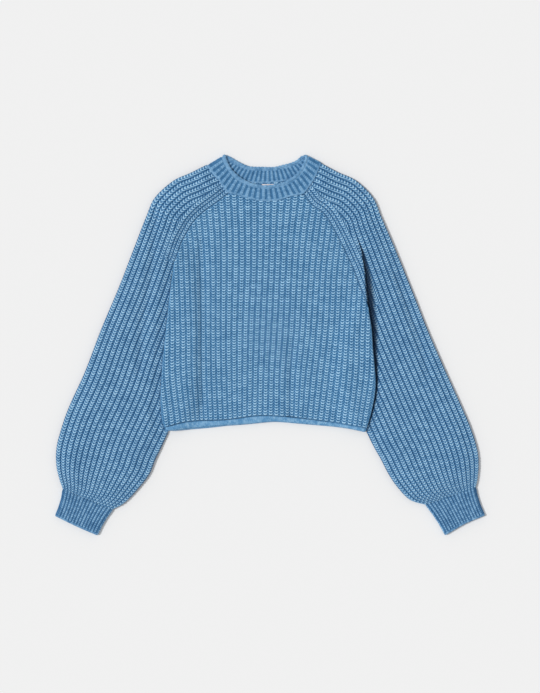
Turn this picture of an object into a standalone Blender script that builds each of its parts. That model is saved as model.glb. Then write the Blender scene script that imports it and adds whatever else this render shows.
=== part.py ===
"""Cropped raglan sweater with balloon sleeves, laid flat on its back.

The garment lies in the XY plane with its neck towards +Y and its front up.  Tables are in
millimetres about the middle of the outline; the finished solids are moved so that the box
round them stands on the origin.  The wearer's right side is at -X.

Every piece of knitting is a wall: front and back are sheets, the sleeves, collar, cuffs and hem
are flattened tubes whose two layers lie on each other.  Sleeves tuck under the body's sides.
"""

import math

import bmesh
import bpy
from mathutils import Vector
from mathutils.geometry import delaunay_2d_cdt

MM = 0.001

# ---- cloth -----------------------------------------------------------------------------------
BACK_WALL = 3.4        # back panel, plain underside
FRONT_WALL = 3.4       # front panel between its ribs
RIB = 1.5              # how far a rib of front or sleeve stands up
FINE_RIB = 0.8         # ribs of collar and cuffs
SEAM_GAP = 0.3         # half of the slit left between neighbouring pieces
CLEAR = 0.3            # air between layers that lie on each other
TUCK_CLEAR = 0.9       # air between a tucked sleeve and the body over it
LOW_WALL = 2.9         # lower layer of a flattened tube
SLOT = 0.8             # least air between the two layers of a tube
TUBE = 7.8             # height of a tube at its folds
TUCKED = 6.3           # height of a sleeve where the body lies on it
AIR = 1.0              # how far the middle of the front stays off the back
SLEEVE_WALES = 18
COLLAR_RIBS = 24
CUFF_RIBS = 12

# ---- front: where its ribs run -----------------------------------------------------------------
# rib number, then the rib's x at each height of RIB_Y
RIB_Y = (247.5, 193.5, 132.3, 26.1, -54.9, -135.9)
RIB_X = (
    (-1, -230.0, -216.0, -206.0, -204.0, -204.0, -196.0),
    (0, -212.0, -200.0, -195.0, -194.0, -195.0, -186.3),
    (3, -177.0, -173.0, -168.7, -165.1, -164.3, -155.3),
    (6, -153.0, -143.8, -139.9, -136.4, -135.4, -130.0),
    (8, -131.0, -125.3, -121.0, -119.5, -118.8, -114.7),
    (12, -86.6, -83.0, -82.6, -83.7, -82.6, -79.6),
    (16, -40.0, -38.9, -39.4, -43.7, -44.8, -45.2),
    (20, 8.3, 5.8, 3.1, -2.5, -6.7, -8.6),
    (24, 55.6, 48.8, 44.5, 38.7, 32.0, 31.0),
    (28, 101.0, 93.2, 85.9, 78.5, 69.3, 62.6),
    (32, 141.0, 133.2, 126.2, 120.1, 111.8, 101.3),
    (36, 178.0, 171.0, 164.7, 156.6, 153.5, 144.0),
    (39, 210.0, 202.0, 193.0, 186.5, 183.5, 170.8),
    (40, 222.0, 214.0, 204.0, 197.0, 194.0, 181.0),
)
FIRST_RIB, LAST_RIB = 0, 39

# ---- outlines of front and back ------------------------------------------------------------------
RAGLAN = {             # front raglan seam, from the neck to where the body's fold begins
    "right": ((-78, 275), (-101, 258), (-124, 241), (-141, 224), (-152, 207), (-164, 184),
              (-170, 159), (-172, 148)),
    "left": ((60, 272), (78, 250), (93, 240), (105, 226), (116, 207), (128, 184), (141, 157),
             (152, 133), (160, 111), (168, 91), (177, 66)),
}
BODY_EDGE = {          # side fold of the body, downwards
    "right": ((-172, 148), (-178, 108), (-181, 82), (-184, 57), (-186, 35), (-188, 15),
              (-193, -28), (-196, -71), (-197, -96), (-196, -120), (-193, -140), (-189, -148)),
    "left": ((177, 66), (183, 26), (185, -5), (188, -37), (190, -69), (188, -94), (183, -119),
             (177, -141), (174, -150)),
}
HEM_TOP = ((-189, -149), (-148, -138.5), (-78, -135), (-23, -128), (21, -129), (86, -136),
           (140, -144), (174, -150.5))
HEM_BOTTOM = ((-185, -158.5), (-169, -156), (-106, -148.5), (-50, -142.5), (4, -140),
              (59, -143), (115, -148.5), (172, -158))
BACK_HEM_DROP = 2.4    # the back's hem shows this much below the front's

NECK_SEAM = ((-113, 320), (-106, 312), (-97, 302), (-87, 290), (-78, 275), (-60, 270),
             (-36, 263), (-12, 259), (13, 260), (37, 267), (60, 272), (70, 284), (78, 296),
             (85, 310), (92, 327))
NECK_EDGE = ((-82, 342), (-79, 328), (-72, 314), (-62, 302), (-48, 293), (-30, 285),
             (-12, 282), (6, 283), (25, 287), (37, 293), (49, 302), (58, 314), (64, 330),
             (66, 342))
BACK_SEAM = ((-113, 320), (-81, 303), (-58, 297), (-36, 293), (-12, 292), (13, 294), (36, 298),
             (61, 306), (92, 327))
BACK_EDGE = ((-82, 342), (-72, 336), (-60, 329), (-48, 323), (-36, 319), (-12, 318), (8, 318),
             (25, 322), (37, 325), (49, 330), (58, 338), (66, 342))

# ---- sleeves -------------------------------------------------------------------------------------
# a row per station across the sleeve: outer fold x, y, then the inner end of the same line
STATIONS = {
    "right": ((-104, 330, -38, 175), (-144, 310, -68, 159), (-173, 296, -78, 154),
              (-207, 264, -79, 149), (-222, 231, -76, 147), (-243, 177, -84, 116),
              (-272, 102, -110, 36), (-304, 26, -141, -41), (-333, -50, -165, -118),
              (-362, -114, -195, -183), (-376, -154, -207, -208), (-384, -187, -217, -233),
              (-384, -219, -236, -258), (-377, -248, -261, -284), (-373, -260, -283, -297.5)),
    "left": ((85, 332, 22, 175), (122, 312, 50, 159), (155, 296, 65, 154), (186, 264, 66, 149),
             (200, 231, 62, 142), (220, 185, 66, 118), (254, 102, 92, 36), (284, 26, 124, -41),
             (317, -50, 157, -117), (346, -114, 186, -181), (362, -152, 200, -206),
             (373.5, -190, 214, -233), (376, -215, 228, -254), (374, -240, 252, -279),
             (371, -257, 280, -288.5)),
}
TUCK_EDGE = {          # the sleeve's inner fold, from above the armpit down, under the body first
    "right": ((-156, 180), (-160, 118), (-152, 85), (-147, 40), (-145, 0), (-147, -40),
              (-156, -92), (-165, -119), (-178, -146), (-195, -183)),
    "left": ((161, 110), (163, 38), (152, 0), (146, -40), (146, -80), (154, -112), (168, -143),
             (186, -181)),
}
BACK_RAGLAN = {        # back raglan seam, from the collar to the armpit
    "right": ((-81, 303), (-107, 245), (-134, 182), (-160, 118)),
    "left": ((61, 306), (94, 226), (129, 132), (163, 38)),
}
CREVICE = ((143, 217), (158, 190), (166, 166), (171, 138), (174, 114), (176, 91), (178, 66))
SOFT_TROUGH = {        # a shallow fold down the upper sleeve
    "right": ((-205, 236), (-212, 134), (-230, 26), (-234, -46)),
    "left": ((232, 120), (262, 30), (285, -50)),
}
CUFF = {               # seam outer, seam inner, edge outer, edge inner
    "right": ((-373, -260), (-283, -297.5), (-386, -307), (-310, -342)),
    "left": ((371, -257), (280, -288.5), (386.5, -306), (315, -341.5)),
}
LABEL = (-19, 269, 14, 290.5, 0.9)     # x0, y0, x1, y1, thickness


# ---- small tools ---------------------------------------------------------------------------------
def smooth(t):
    t = min(max(t, 0.0), 1.0)
    return t * t * (3 - 2 * t)


def hermite(xs, ys, x):
    """Smooth curve through (xs, ys), xs rising; straight past its ends."""
    n = len(xs)
    if x <= xs[0]:
        return ys[0] + (x - xs[0]) * (ys[1] - ys[0]) / (xs[1] - xs[0])
    if x >= xs[-1]:
        return ys[-1] + (x - xs[-1]) * (ys[-1] - ys[-2]) / (xs[-1] - xs[-2])
    i = max(k for k in range(n - 1) if xs[k] <= x)

    def slope(k):
        a, b = max(k - 1, 0), min(k + 1, n - 1)
        return (ys[b] - ys[a]) / (xs[b] - xs[a])

    h = xs[i + 1] - xs[i]
    t = (x - xs[i]) / h
    return ((2 * t ** 3 - 3 * t * t + 1) * ys[i] + (t ** 3 - 2 * t * t + t) * h * slope(i)
            + (3 * t * t - 2 * t ** 3) * ys[i + 1] + (t ** 3 - t * t) * h * slope(i + 1))


def lengths(line):
    out = [0.0]
    for a, b in zip(line, line[1:]):
        out.append(out[-1] + math.dist(a, b))
    return out


def at(line, t):
    """Point at fraction t of a smooth curve through the line's points."""
    run = lengths(line)
    return tuple(hermite(run, [p[k] for p in line], t * run[-1]) for k in (0, 1))


def spaced(line, step):
    n = max(1, round(lengths(line)[-1] / step))
    return [at(line, k / n) for k in range(n + 1)]


def dense(line, step=3.0):
    """The smooth curve as many points, the line's own among them."""
    run = lengths(line)
    out = [tuple(line[0])]
    for a, b in zip(run, run[1:]):
        n = max(1, math.ceil((b - a) / step))
        for k in range(1, n + 1):
            u = a + (b - a) * k / n
            out.append(tuple(hermite(run, [p[c] for p in line], u) for c in (0, 1)))
    return out


def part(line, p, q):
    """Stretch of a dense line from the point nearest p to that nearest q."""
    i, j = (min(range(len(line)), key=lambda k: math.dist(line[k], r)) for r in (p, q))
    return line[i:j + 1] if i <= j else line[j:i + 1][::-1]


def shifted(line, d):
    """The line moved sideways by d, to the left of its run."""
    out = []
    for i, p in enumerate(line):
        a, b = line[max(i - 1, 0)], line[min(i + 1, len(line) - 1)]
        n = math.dist(a, b)
        out.append((p[0] - (b[1] - a[1]) / n * d, p[1] + (b[0] - a[0]) / n * d))
    return out


def away(p, line):
    """Distance of p from the line."""
    best = 1e9
    for a, b in zip(line, line[1:]):
        dx, dy = b[0] - a[0], b[1] - a[1]
        t = ((p[0] - a[0]) * dx + (p[1] - a[1]) * dy) / (dx * dx + dy * dy)
        t = min(max(t, 0.0), 1.0)
        best = min(best, math.hypot(p[0] - a[0] - t * dx, p[1] - a[1] - t * dy))
    return best


def x_at(line, y):
    """x of a line that runs down, at height y."""
    for a, b in zip(line, line[1:]):
        if b[1] <= y <= a[1]:
            return a[0] + (b[0] - a[0]) * (a[1] - y) / (a[1] - b[1])
    return line[0][0] if y > line[0][1] else line[-1][0]


def inside(p, ring):
    hit = False
    for a, b in zip(ring, ring[1:] + ring[:1]):
        if (a[1] > p[1]) != (b[1] > p[1]):
            if p[0] < a[0] + (b[0] - a[0]) * (p[1] - a[1]) / (b[1] - a[1]):
                hit = not hit
    return hit


def crossing(p, q, line):
    """Fraction along p-q, produced both ways, where it meets the line, or None."""
    for a, b in zip(line, line[1:]):
        rx, ry, sx, sy = q[0] - p[0], q[1] - p[1], b[0] - a[0], b[1] - a[1]
        den = rx * sy - ry * sx
        if abs(den) < 1e-9:
            continue
        t = ((a[0] - p[0]) * sy - (a[1] - p[1]) * sx) / den
        u = ((a[0] - p[0]) * ry - (a[1] - p[1]) * rx) / den
        if 0 <= u <= 1 and 0 < t < 1.6:
            return t
    return None


NECK = dense(NECK_SEAM)
BACK_NECK = dense(BACK_SEAM)
FRONT_RAGLAN = {side: dense(line) for side, line in RAGLAN.items()}
REAR_RAGLAN = {side: dense(line, 8) for side, line in BACK_RAGLAN.items()}
EDGE = {side: dense(line, 6) for side, line in BODY_EDGE.items()}
HEM_LINE = dense(HEM_TOP, 6)


# ---- heights -------------------------------------------------------------------------------------
def side_sign(side):
    return -1 if side == "right" else 1


def lift(x, y, front=False):
    """How far the body is held up by the sleeve tucked under its side."""
    side = "right" if x < 0 else "left"
    sign = side_sign(side)
    edge = list(TUCK_EDGE[side][1:])
    if front:
        edge = [RAGLAN[side][-1]] + edge
    over = y < edge[0][1] and sign * (x - x_at(edge, y)) > 0
    d = 0.0 if over else away((x, y), edge)
    return (TUCKED + TUCK_CLEAR) * (1 - smooth((d - 6) / 38))


def back_top(x, y):
    return lift(x, y) + BACK_WALL


def front_under(x, y):
    """Underside of the front panel: on the back, with a little air and two soft folds."""
    up = lift(x, y, True)
    rim = min(away((x, y), RAGLAN["right"]), away((x, y), RAGLAN["left"]))
    full = AIR * smooth(rim / 25) * smooth((172 - abs(x)) / 25)
    fold = math.exp(-((x + 120) / 9) ** 2) * smooth((y + 130) / 40) * smooth((225 - y) / 60)
    fold += math.exp(-((x - 39) / 10) ** 2) * smooth((40 - y) / 80)
    return up + BACK_WALL + CLEAR + full * (1 - 0.85 * min(fold, 1.0))


def rib_at(x, y):
    """Rib number, with its fraction, at a place on the front."""
    heights = RIB_Y[::-1]
    row = [hermite(heights, r[:0:-1], y) for r in RIB_X]
    return hermite(row, [r[0] for r in RIB_X], x)


def rib_line(r, y):
    heights = RIB_Y[::-1]
    row = [hermite(heights, k[:0:-1], y) for k in RIB_X]
    return hermite([k[0] for k in RIB_X], row, r)


def ridge(number):
    """Height of a rib's section at a rib number: flat on top, a groove between two."""
    off = abs(number - round(number))
    return 1.0 - smooth((off - 0.18) / 0.30)


# ---- meshes --------------------------------------------------------------------------------------
class Mesh:
    def __init__(self):
        self.v, self.f = [], []

    def point(self, x, y, z):
        self.v.append((x, y, z))
        return len(self.v) - 1

    def face(self, *ids):
        kept = [k for i, k in enumerate(ids) if k not in ids[:i]]
        if len(kept) > 2:
            self.f.append(kept)

    def quad(self, a, b, c, d):
        self.face(a, b, c)
        self.face(a, c, d)

    def zip(self, one, t1, two, t2, span):
        """Close the slit between two rings whose points carry a place along the same run."""
        i = j = 0
        n, m = len(one), len(two)
        while i < n or j < m:
            next1 = t1[(i + 1) % n] + (span if i + 1 >= n else 0)
            next2 = t2[(j + 1) % m] + (span if j + 1 >= m else 0)
            if j >= m or (i < n and next1 <= next2):
                self.face(one[i % n], one[(i + 1) % n], two[j % m])
                i += 1
            else:
                self.face(one[i % n], two[(j + 1) % m], two[j % m])
                j += 1


def fill(outline, points, links):
    """Triangles over an outline through inner points; the outline's points come first."""
    n = len(outline)
    flat = [Vector(p) for p in list(outline) + list(points)]
    edges = [(i, (i + 1) % n) for i in range(n)] + [(a + n, b + n) for a, b in links]
    verts, _, faces, origin, _, _ = delaunay_2d_cdt(flat, edges, [], 1, 1e-4)
    order = [min(o) if o else -1 for o in origin]
    if -1 in order or len(set(order)) != len(flat):
        raise ValueError("an inner line meets the outline")
    return [[order[k] for k in f] for f in faces]


def sheet(outline, top, under, top_lines, under_points):
    """A wall between two height functions over one outline."""
    mesh = Mesh()
    pts, links = [], []
    for line in top_lines:
        for k, p in enumerate(line):
            pts.append(p)
            if k:
                links.append((len(pts) - 2, len(pts) - 1))
    faces = fill(outline, pts, links)
    upper = [mesh.point(x, y, top(x, y)) for x, y in list(outline) + pts]
    for f in faces:
        mesh.face(*[upper[k] for k in f])
    faces = fill(outline, under_points, [])
    lower = [mesh.point(x, y, under(x, y)) for x, y in list(outline) + list(under_points)]
    for f in faces:
        mesh.face(*[lower[k] for k in reversed(f)])
    n = len(outline)
    for i in range(n):
        j = (i + 1) % n
        mesh.quad(upper[i], upper[j], lower[j], lower[i])
    return mesh


def within(outline, points, margin):
    ring = list(outline)
    closed = ring + ring[:1]
    return [p for p in points if inside(p, ring) and away(p, closed) > margin]


def lattice(outline, margin):
    """Inner points of a plain surface, close together where the body rises over a sleeve."""
    xs = [-190 + 12 * k for k in range(9)] + [-60, -30, 0, 30, 60] + [90 + 12 * k for k in range(9)]
    return within(outline, [(x, -140 + 24 * k) for x in xs for k in range(19)], margin)


def front_panel():
    outline = spaced(EDGE["right"], 12)[:-1]                                 # down the right side
    outline += spaced(shifted(HEM_LINE, SEAM_GAP), 10.5)[:-1]                # along the hem
    outline += spaced(EDGE["left"][::-1], 12)[:-1]                           # up the left side
    outline += spaced(shifted(FRONT_RAGLAN["left"][::-1], SEAM_GAP), 8)[:-1]
    neck = part(NECK, RAGLAN["left"][0], RAGLAN["right"][0])
    outline += spaced(shifted(neck, SEAM_GAP), 5.2)[:-1]
    outline += spaced(shifted(FRONT_RAGLAN["right"], SEAM_GAP), 8)[:-1]
    lines = []
    rows = [-136 + 27 * k for k in range(17)]
    for k in range(3 * (LAST_RIB - FIRST_RIB) + 4):
        number = FIRST_RIB - 0.5 + k / 3
        line = []
        for y in rows:
            p = (rib_line(number, y), y)
            if within(outline, [p], 2.2):
                line.append(p)
            elif line:
                break
        if line:
            lines.append(line)
    edges = list(BODY_EDGE.values())

    def top(x, y):
        near = min(away((x, y), e) for e in edges)
        roll = 1.7 * (1 - smooth(near / 7)) ** 2
        return front_under(x, y) + FRONT_WALL + RIB * ridge(rib_at(x, y)) - roll

    return sheet(outline, top, front_under, lines, lattice(outline, 4))


def back_panel():
    def fold(side):
        armpit = BACK_RAGLAN[side][-1]
        edge = [p for p in EDGE[side] if p[1] < armpit[1] - 8]
        inner = (armpit[0] - side_sign(side) * 0.6, armpit[1] - 1)
        return [inner] + spaced(edge, 14)

    outline = fold("right")[:-1]
    hem = [(x, y - BACK_HEM_DROP * smooth((185 - abs(x)) / 30)) for x, y in HEM_LINE]
    outline += spaced(shifted(hem, SEAM_GAP), 12)[:-1]
    outline += fold("left")[::-1]
    outline += spaced(shifted(REAR_RAGLAN["left"][::-1], SEAM_GAP), 14)[1:-1]
    neck = part(BACK_NECK, BACK_RAGLAN["left"][0], BACK_RAGLAN["right"][0])
    outline += spaced(shifted(neck, SEAM_GAP), 8)[:-1]
    outline += spaced(shifted(REAR_RAGLAN["right"], SEAM_GAP), 14)[:-1]
    points = lattice(outline, 4)
    return sheet(outline, back_top, lift, [[p] for p in points], points)


# ---- flattened tubes -----------------------------------------------------------------------------
ARC = (0.25, 0.5, 0.75)    # turns of a fold's section, from its top to its bottom


def flat_ring(upper, lower, rows, top, base, ribs_up, ribs_down, crown, plain=0):
    """A band of two layers joined at two folds.

    upper and lower are pairs of lines (seam, free edge) from the right fold to the left one;
    rows are fractions from seam to edge; top(x, y, t) is the height of the upper layer
    between ribs and base(x, y) that of the surface under the band.  ribs_up and ribs_down
    are the ribs that show on the upper layer and on the inside of the lower one; plain is the
    number of columns of a layer without ribs.
    """
    mesh = Mesh()

    def place(pair, t, v):
        a, b = at(pair[0], t), at(pair[1], t)
        return a[0] + (b[0] - a[0]) * v, a[1] + (b[1] - a[1]) * v

    def rings(outside):
        """List of (place round the band 0..4, column of points)."""
        out = []
        run = [lengths(p[0])[-1] for p in (upper, lower)]
        fine = (2 * ribs_up or plain) if outside else (ribs_up or plain)
        ends = {}
        for t in (0.0, 1.0):
            x, y = place(upper, t, 0.5)
            ends[t] = (top(x, y, t) - base(x, y)) / 2
        span = [(ends[0.0] / r, 1 - ends[1.0] / r) for r in run]
        for k in range(fine + 1):
            t = span[0][0] + (span[0][1] - span[0][0]) * k / fine
            col = []
            for v in rows:
                x, y = place(upper, t, v)
                z = top(x, y, t)
                if outside:
                    raised = FINE_RIB * (k % 2) if ribs_up else 0
                    z += raised - crown * abs(2 * v - 1) ** 3
                else:
                    z = max(z - 4.1, base(x, y) + LOW_WALL + SLOT)
                col.append((x, y, z))
            out.append((k / fine, col))
        if outside:
            for turn in ARC:
                out.append((1 + turn, fold_column(1.0, ends[1.0], run, turn)))
        fine = (ribs_down or plain) if outside else (2 * ribs_down or plain)
        for k in range(fine + 1):
            t = span[1][1] + (span[1][0] - span[1][1]) * k / fine
            col = []
            for v in rows:
                x, y = place(lower, t, v)
                z = base(x, y)
                if not outside:
                    raised = FINE_RIB * (k % 2) if ribs_down else 0
                    z += LOW_WALL + raised * smooth((min(k, fine - k)) / 6)
                col.append((x, y, z))
            out.append((2 + k / fine, col))
        if outside:
            for turn in ARC:
                out.append((3 + turn, fold_column(0.0, ends[0.0], run, 1 - turn)))
        return out

    def fold_column(t, half, run, turn):
        """Part of the fold at end t, turn 0 at the top and 1 at the bottom."""
        angle = math.pi * (0.5 - turn)
        pair, length = (upper, run[0]) if angle >= 0 else (lower, run[1])
        inset = half * (1 - math.cos(angle)) / length
        col = []
        for v in rows:
            x, y = place(pair, inset if t == 0.0 else 1 - inset, v)
            low = base(x, y)
            col.append((x, y, low + half + half * math.sin(angle)
                        - (crown * abs(2 * v - 1) ** 3 if angle > 0 else 0)))
        return col

    loops = []
    for outside in (True, False):
        cols = rings(outside)
        ids = [[mesh.point(*p) for p in col] for _, col in cols]
        n = len(ids)
        for i in range(n):
            for j in range(len(rows) - 1):
                a, b = ids[i], ids[(i + 1) % n]
                mesh.quad(a[j], b[j], b[j + 1], a[j + 1])
        loops.append((ids, [c[0] for c in cols]))
    for j in (0, -1):
        mesh.zip([c[j] for c in loops[0][0]], loops[0][1],
                 [c[j] for c in loops[1][0]], loops[1][1], 4)
    return mesh


def collar():
    up = (shifted(NECK, SEAM_GAP), NECK_EDGE)
    low = (shifted(BACK_NECK, SEAM_GAP), BACK_EDGE)

    def top(x, y, t):
        return 8.0 + 1.1 * smooth(min(t, 1 - t) / 0.2)

    return flat_ring(up, low, (0, 0.5, 1), top, lambda x, y: 0.0, COLLAR_RIBS, COLLAR_RIBS, 0.5)


def hem():
    top_line = shifted(HEM_LINE, -SEAM_GAP)
    bottom = HEM_BOTTOM

    def dropped(line):
        return [(x, y - BACK_HEM_DROP * smooth((185 - abs(x)) / 30)) for x, y in line]

    def top(x, y, t):
        return lift(x, y) + 8.6

    return flat_ring((top_line, bottom), (dropped(top_line), dropped(bottom)),
                     (0, 0.25, 0.5, 0.75, 1), top, lift, 0, 0, 1.6, 30)


def cuff(side):
    seam_out, seam_in, edge_out, edge_in = CUFF[side]
    seam, edge = [seam_out, seam_in], [edge_out, edge_in]
    turn = -SEAM_GAP if side == "right" else SEAM_GAP
    seam = shifted(seam, turn)
    mid = ((seam[0][0] + seam[1][0]) / 2, (seam[0][1] + seam[1][1]) / 2)
    seam = [seam[0], mid, seam[1]]
    mid = ((edge[0][0] + edge[1][0]) / 2 - side_sign(side) * 1.0,
           (edge[0][1] + edge[1][1]) / 2 - 1.5)
    edge = [edge[0], mid, edge[1]]

    def top(x, y, t):
        return TUBE + 0.5 * smooth(min(t, 1 - t) / 0.2)

    return flat_ring((seam, edge), (seam, edge), (0, 0.12, 0.9, 1), top, lambda x, y: 0.0,
                     CUFF_RIBS, 0, 0.6, 6)


def sleeve(side):
    sign = side_sign(side)
    table = STATIONS[side]
    count = len(table) - 1
    tuck, body = TUCK_EDGE[side], list(BODY_EDGE[side])
    gap = -SEAM_GAP if side == "right" else SEAM_GAP
    shoulder = NECK_SEAM[0 if side == "right" else -1]
    seam = part(NECK, shoulder, RAGLAN[side][0])
    armpit = tuck[1]
    rim_up = shifted(seam + FRONT_RAGLAN[side][1:], gap) + [armpit]
    back = part(BACK_NECK, shoulder, BACK_RAGLAN[side][0])
    rim_low = shifted(back + REAR_RAGLAN[side][1:], gap)
    far = [(-sign * 400, armpit[1]), (-sign * 400, 500), (sign * 118, 500), (sign * 118, 345)]
    zone_up = shifted(seam + FRONT_RAGLAN[side][1:], gap * 0.5) + [armpit] + far
    zone_low = shifted(back + REAR_RAGLAN[side][1:], gap * 0.5) + far
    for zone, line in ((zone_up, seam), (zone_low, back)):      # clear of the collar's fold
        for k, extra in enumerate((7, 4, 2)):
            zone[k] = shifted(line, gap * extra)[k]
    r_out, r_in = TUBE / 2, TUCKED / 2
    cuff_seam = CUFF[side][:2]
    fine, lower_count = 3 * SLEEVE_WALES, 8
    memo = {}

    def produced(line):
        """The line with its start drawn out beyond the neck."""
        (ax, ay), (bx, by) = line[0], line[2]
        return [(ax + (ax - bx) * 9, ay + (ay - by) * 9)] + list(line)

    front_seam = produced(shifted(FRONT_RAGLAN[side], gap))
    back_seam = produced(shifted(REAR_RAGLAN[side], gap))

    def station(s):
        k = s * count
        row = [hermite(range(count + 1), [r[c] for r in table], k) for c in range(4)]
        return (row[0], row[1]), (row[2], row[3])

    def limits(s):
        """The station's ends and width, then how far in from the outer fold it meets the
        body's edge, the inner fold, the front raglan seam and the back one."""
        key = round(s, 9)
        if key not in memo:
            o, i = station(s)
            width = math.dist(o, i)
            hidden = crossing(o, i, tuck)
            if hidden is None:
                hidden = memo.get("first", 1.0) if s < 0.6 else 1.0
            hidden = min(hidden, 1.0)
            seen = crossing(o, i, body)
            seen = hidden if seen is None else min(seen + 8 / width, hidden)
            fore, rear = crossing(o, i, front_seam), crossing(o, i, back_seam)
            memo[key] = (o, i, width, seen * width, hidden * width,
                         None if fore is None else fore * width,
                         None if rear is None else rear * width)
        return memo[key]

    first = next(k for k in range(400) if crossing(*station(k / 400), tuck) is not None)
    memo["first"] = min(crossing(*station(first / 400), tuck), 1.0)

    def seam_foot(seam):
        """Place along the sleeve of the foot of a raglan seam."""
        s = 0.7
        while crossing(*station(s), seam) is None:
            s -= 0.0005
        return s

    # the column that meets the front raglan seam at its foot runs up along the seam
    front_foot, back_foot = seam_foot(front_seam), seam_foot(back_seam)
    _, _, width, _, _, fore, _ = limits(front_foot)
    exact = (fore - r_out) / (width - r_out - r_in)
    rim_column = round(exact * fine)
    stretch = exact * fine / rim_column - 1

    def across(s, a, upper=True):
        """Place at fraction a from outer to inner fold."""
        o, i, width, seen, hidden, fore, rear = limits(s)
        if upper:
            if s <= front_foot and fore is not None:
                run = r_out + a * fine / rim_column * (fore - r_out)
            else:
                full = width - r_out - r_in
                grown = 1 + stretch * (1 - smooth((s - front_foot) / 0.1))
                run = r_out + a * grown * full
                if run > seen:
                    a_seen = (seen - r_out) / full / grown
                    run = seen + (a - a_seen) / (1 - a_seen) * (hidden - r_in - seen)
        elif s <= back_foot and rear is not None:
            run = r_out + a * (rear - r_out - r_in * smooth(1 - (back_foot - s) / 0.06))
        else:
            run = r_out + a * (hidden - r_out - r_in)
        t = run / width
        return (o[0] + (i[0] - o[0]) * t, o[1] + (i[1] - o[1]) * t), run, hidden

    def start(plan, zone):
        """Place along the sleeve where a column leaves the body's or collar's seam."""
        s = 0.7
        while s > 0 and not inside(plan(s), zone):
            s -= 0.004
        low, high = max(s, 0.0), s + 0.004
        for _ in range(24):
            mid = (low + high) / 2
            if inside(plan(mid), zone):
                low = mid
            else:
                high = mid
        return high

    crease = CREVICE + BODY_EDGE["left"][1:] if side == "left" else body

    def height(p, run, hidden):
        """Top of the upper layer between its wales, and how clear of the body it lies."""
        x, y = p
        inner = hidden - run
        near_fold = 1 - smooth((inner - 3) / 34)
        z = TUBE + (3.6 + 0.6 * smooth((-120 - y) / 80)) * smooth((run - r_out) / 26) * (1 - near_fold)
        z -= (TUBE - TUCKED) * (1 - smooth((-168 - y) / 30)) * near_fold
        from_seam = smooth(away(p, rim_up[:-1]) / 20)
        foot = TUBE + 1.2 * smooth(1 - away(p, RAGLAN[side][-2:]) / 50)
        z = foot + (z - foot) * from_seam
        z -= 1.4 * math.exp(-(away(p, SOFT_TROUGH[side]) / 11) ** 2) * from_seam
        z = TUBE + (z - TUBE) * smooth(away(p, cuff_seam) / 32)
        outside = sign * (x - x_at(crease, y)) > 0
        below = y < RAGLAN[side][-1][1]
        gap_to = away(p, crease)
        under = below and not outside and y > -158
        if side == "right":
            cap = TUCKED + 6 * smooth((gap_to - 6.5 - 5 * smooth((-95 - y) / 25)) / 26)
        else:
            wall = smooth((gap_to - 7 - 4 * smooth((-70 - y) / 20)) / 12) if outside else smooth((gap_to - 2) / 8)
            cap = TUCKED + 6.5 * wall
            cap = z + (min(cap, z) - z) * smooth((217 - y) / 120)
        if under:
            cap, gap_to = TUCKED, 0.0
        if y < -160:
            cap += 8 * smooth((-160 - y) / 26)
        return min(z, cap), gap_to

    rows = [0.0, 0.06, 0.12, 0.18, 0.24, 0.3, 0.34, 0.375, 0.41, 0.44, 0.465, 0.49, 0.515,
            0.54, 0.565, 0.59, 0.615, 0.64, 0.665, 0.69, 0.74, 0.79, 0.84, 0.88, 0.92, 0.96, 1.0]
    close = [k / 100 for k in range(46)] + [r for r in rows if r > 0.45]
    mesh = Mesh()

    def column(shape, plan, zone, rows):
        """Points of one column from its seam to the cuff, each with its place along it."""
        begin = start(plan, zone)
        out = [(begin, mesh.point(*shape(begin)))]
        for k, s in enumerate(rows[1:], 1):
            if k == len(rows) - 1 or s >= begin + 0.3 * (rows[k + 1] - s):
                out.append((s, mesh.point(*shape(s))))
        return out

    def layer(a, upper, outside, rows):
        """A column of the upper or lower layer, on its outside or its inside."""
        def shape(s):
            p, run, hidden = across(s, a, upper)
            if not upper:
                return p[0], p[1], 0.0 if outside else LOW_WALL
            z, free = height(p, run, hidden)
            if not outside:
                return p[0], p[1], max(z - 5.2, LOW_WALL + SLOT)
            rib = RIB * ridge(a * SLEEVE_WALES - 0.5) * smooth((free - 6) / 8)
            return p[0], p[1], z + rib * smooth(away(p, cuff_seam) / 14)
        along_rim = a == 1.0 if not upper else round(a * fine) == rim_column
        return column(shape, lambda s: across(s, a, upper)[0],
                      zone_up if upper else zone_low, close if along_rim else rows)

    def fold(end, turn):
        """A column of a fold's section at one end, turn 0 at its top and 1 at its bottom."""
        angle = math.pi * (0.5 - turn)

        def plan(s):
            p = across(s, end, turn <= 0.5)[0]
            o, i = station(s)
            reach = (TUBE if end == 0 else TUCKED) / 2 * math.cos(angle) / math.dist(o, i)
            reach *= -1 if end == 0 else 1
            return p[0] + (i[0] - o[0]) * reach, p[1] + (i[1] - o[1]) * reach

        def shape(s):
            z, _ = height(*across(s, end))
            return (*plan(s), z / 2 + z / 2 * math.sin(angle))
        if end == 1:
            return [(s, mesh.point(*shape(s))) for s in [back_foot] + [r for r in rows
                                                                     if r > back_foot + 0.01]]
        return column(shape, plan, zone_up if turn <= 0.5 else zone_low, rows)

    def strip(one, two):
        """Triangles between two columns; the longer one's points above the other's start stay
        free where it runs along a seam."""
        i = j = 0
        while i < len(one) - 1 or j < len(two) - 1:
            if j == len(two) - 1 or (i < len(one) - 1 and one[i + 1][0] <= two[j + 1][0]):
                mesh.face(one[i][1], one[i + 1][1], two[j][1])
                i += 1
            else:
                mesh.face(one[i][1], two[j + 1][1], two[j][1])
                j += 1

    def from_place(col, s):
        k = max(i for i in range(len(col)) if i == 0 or col[i][0] <= s)
        return col[k:], [c[1] for c in col[:k + 1]]

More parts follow.
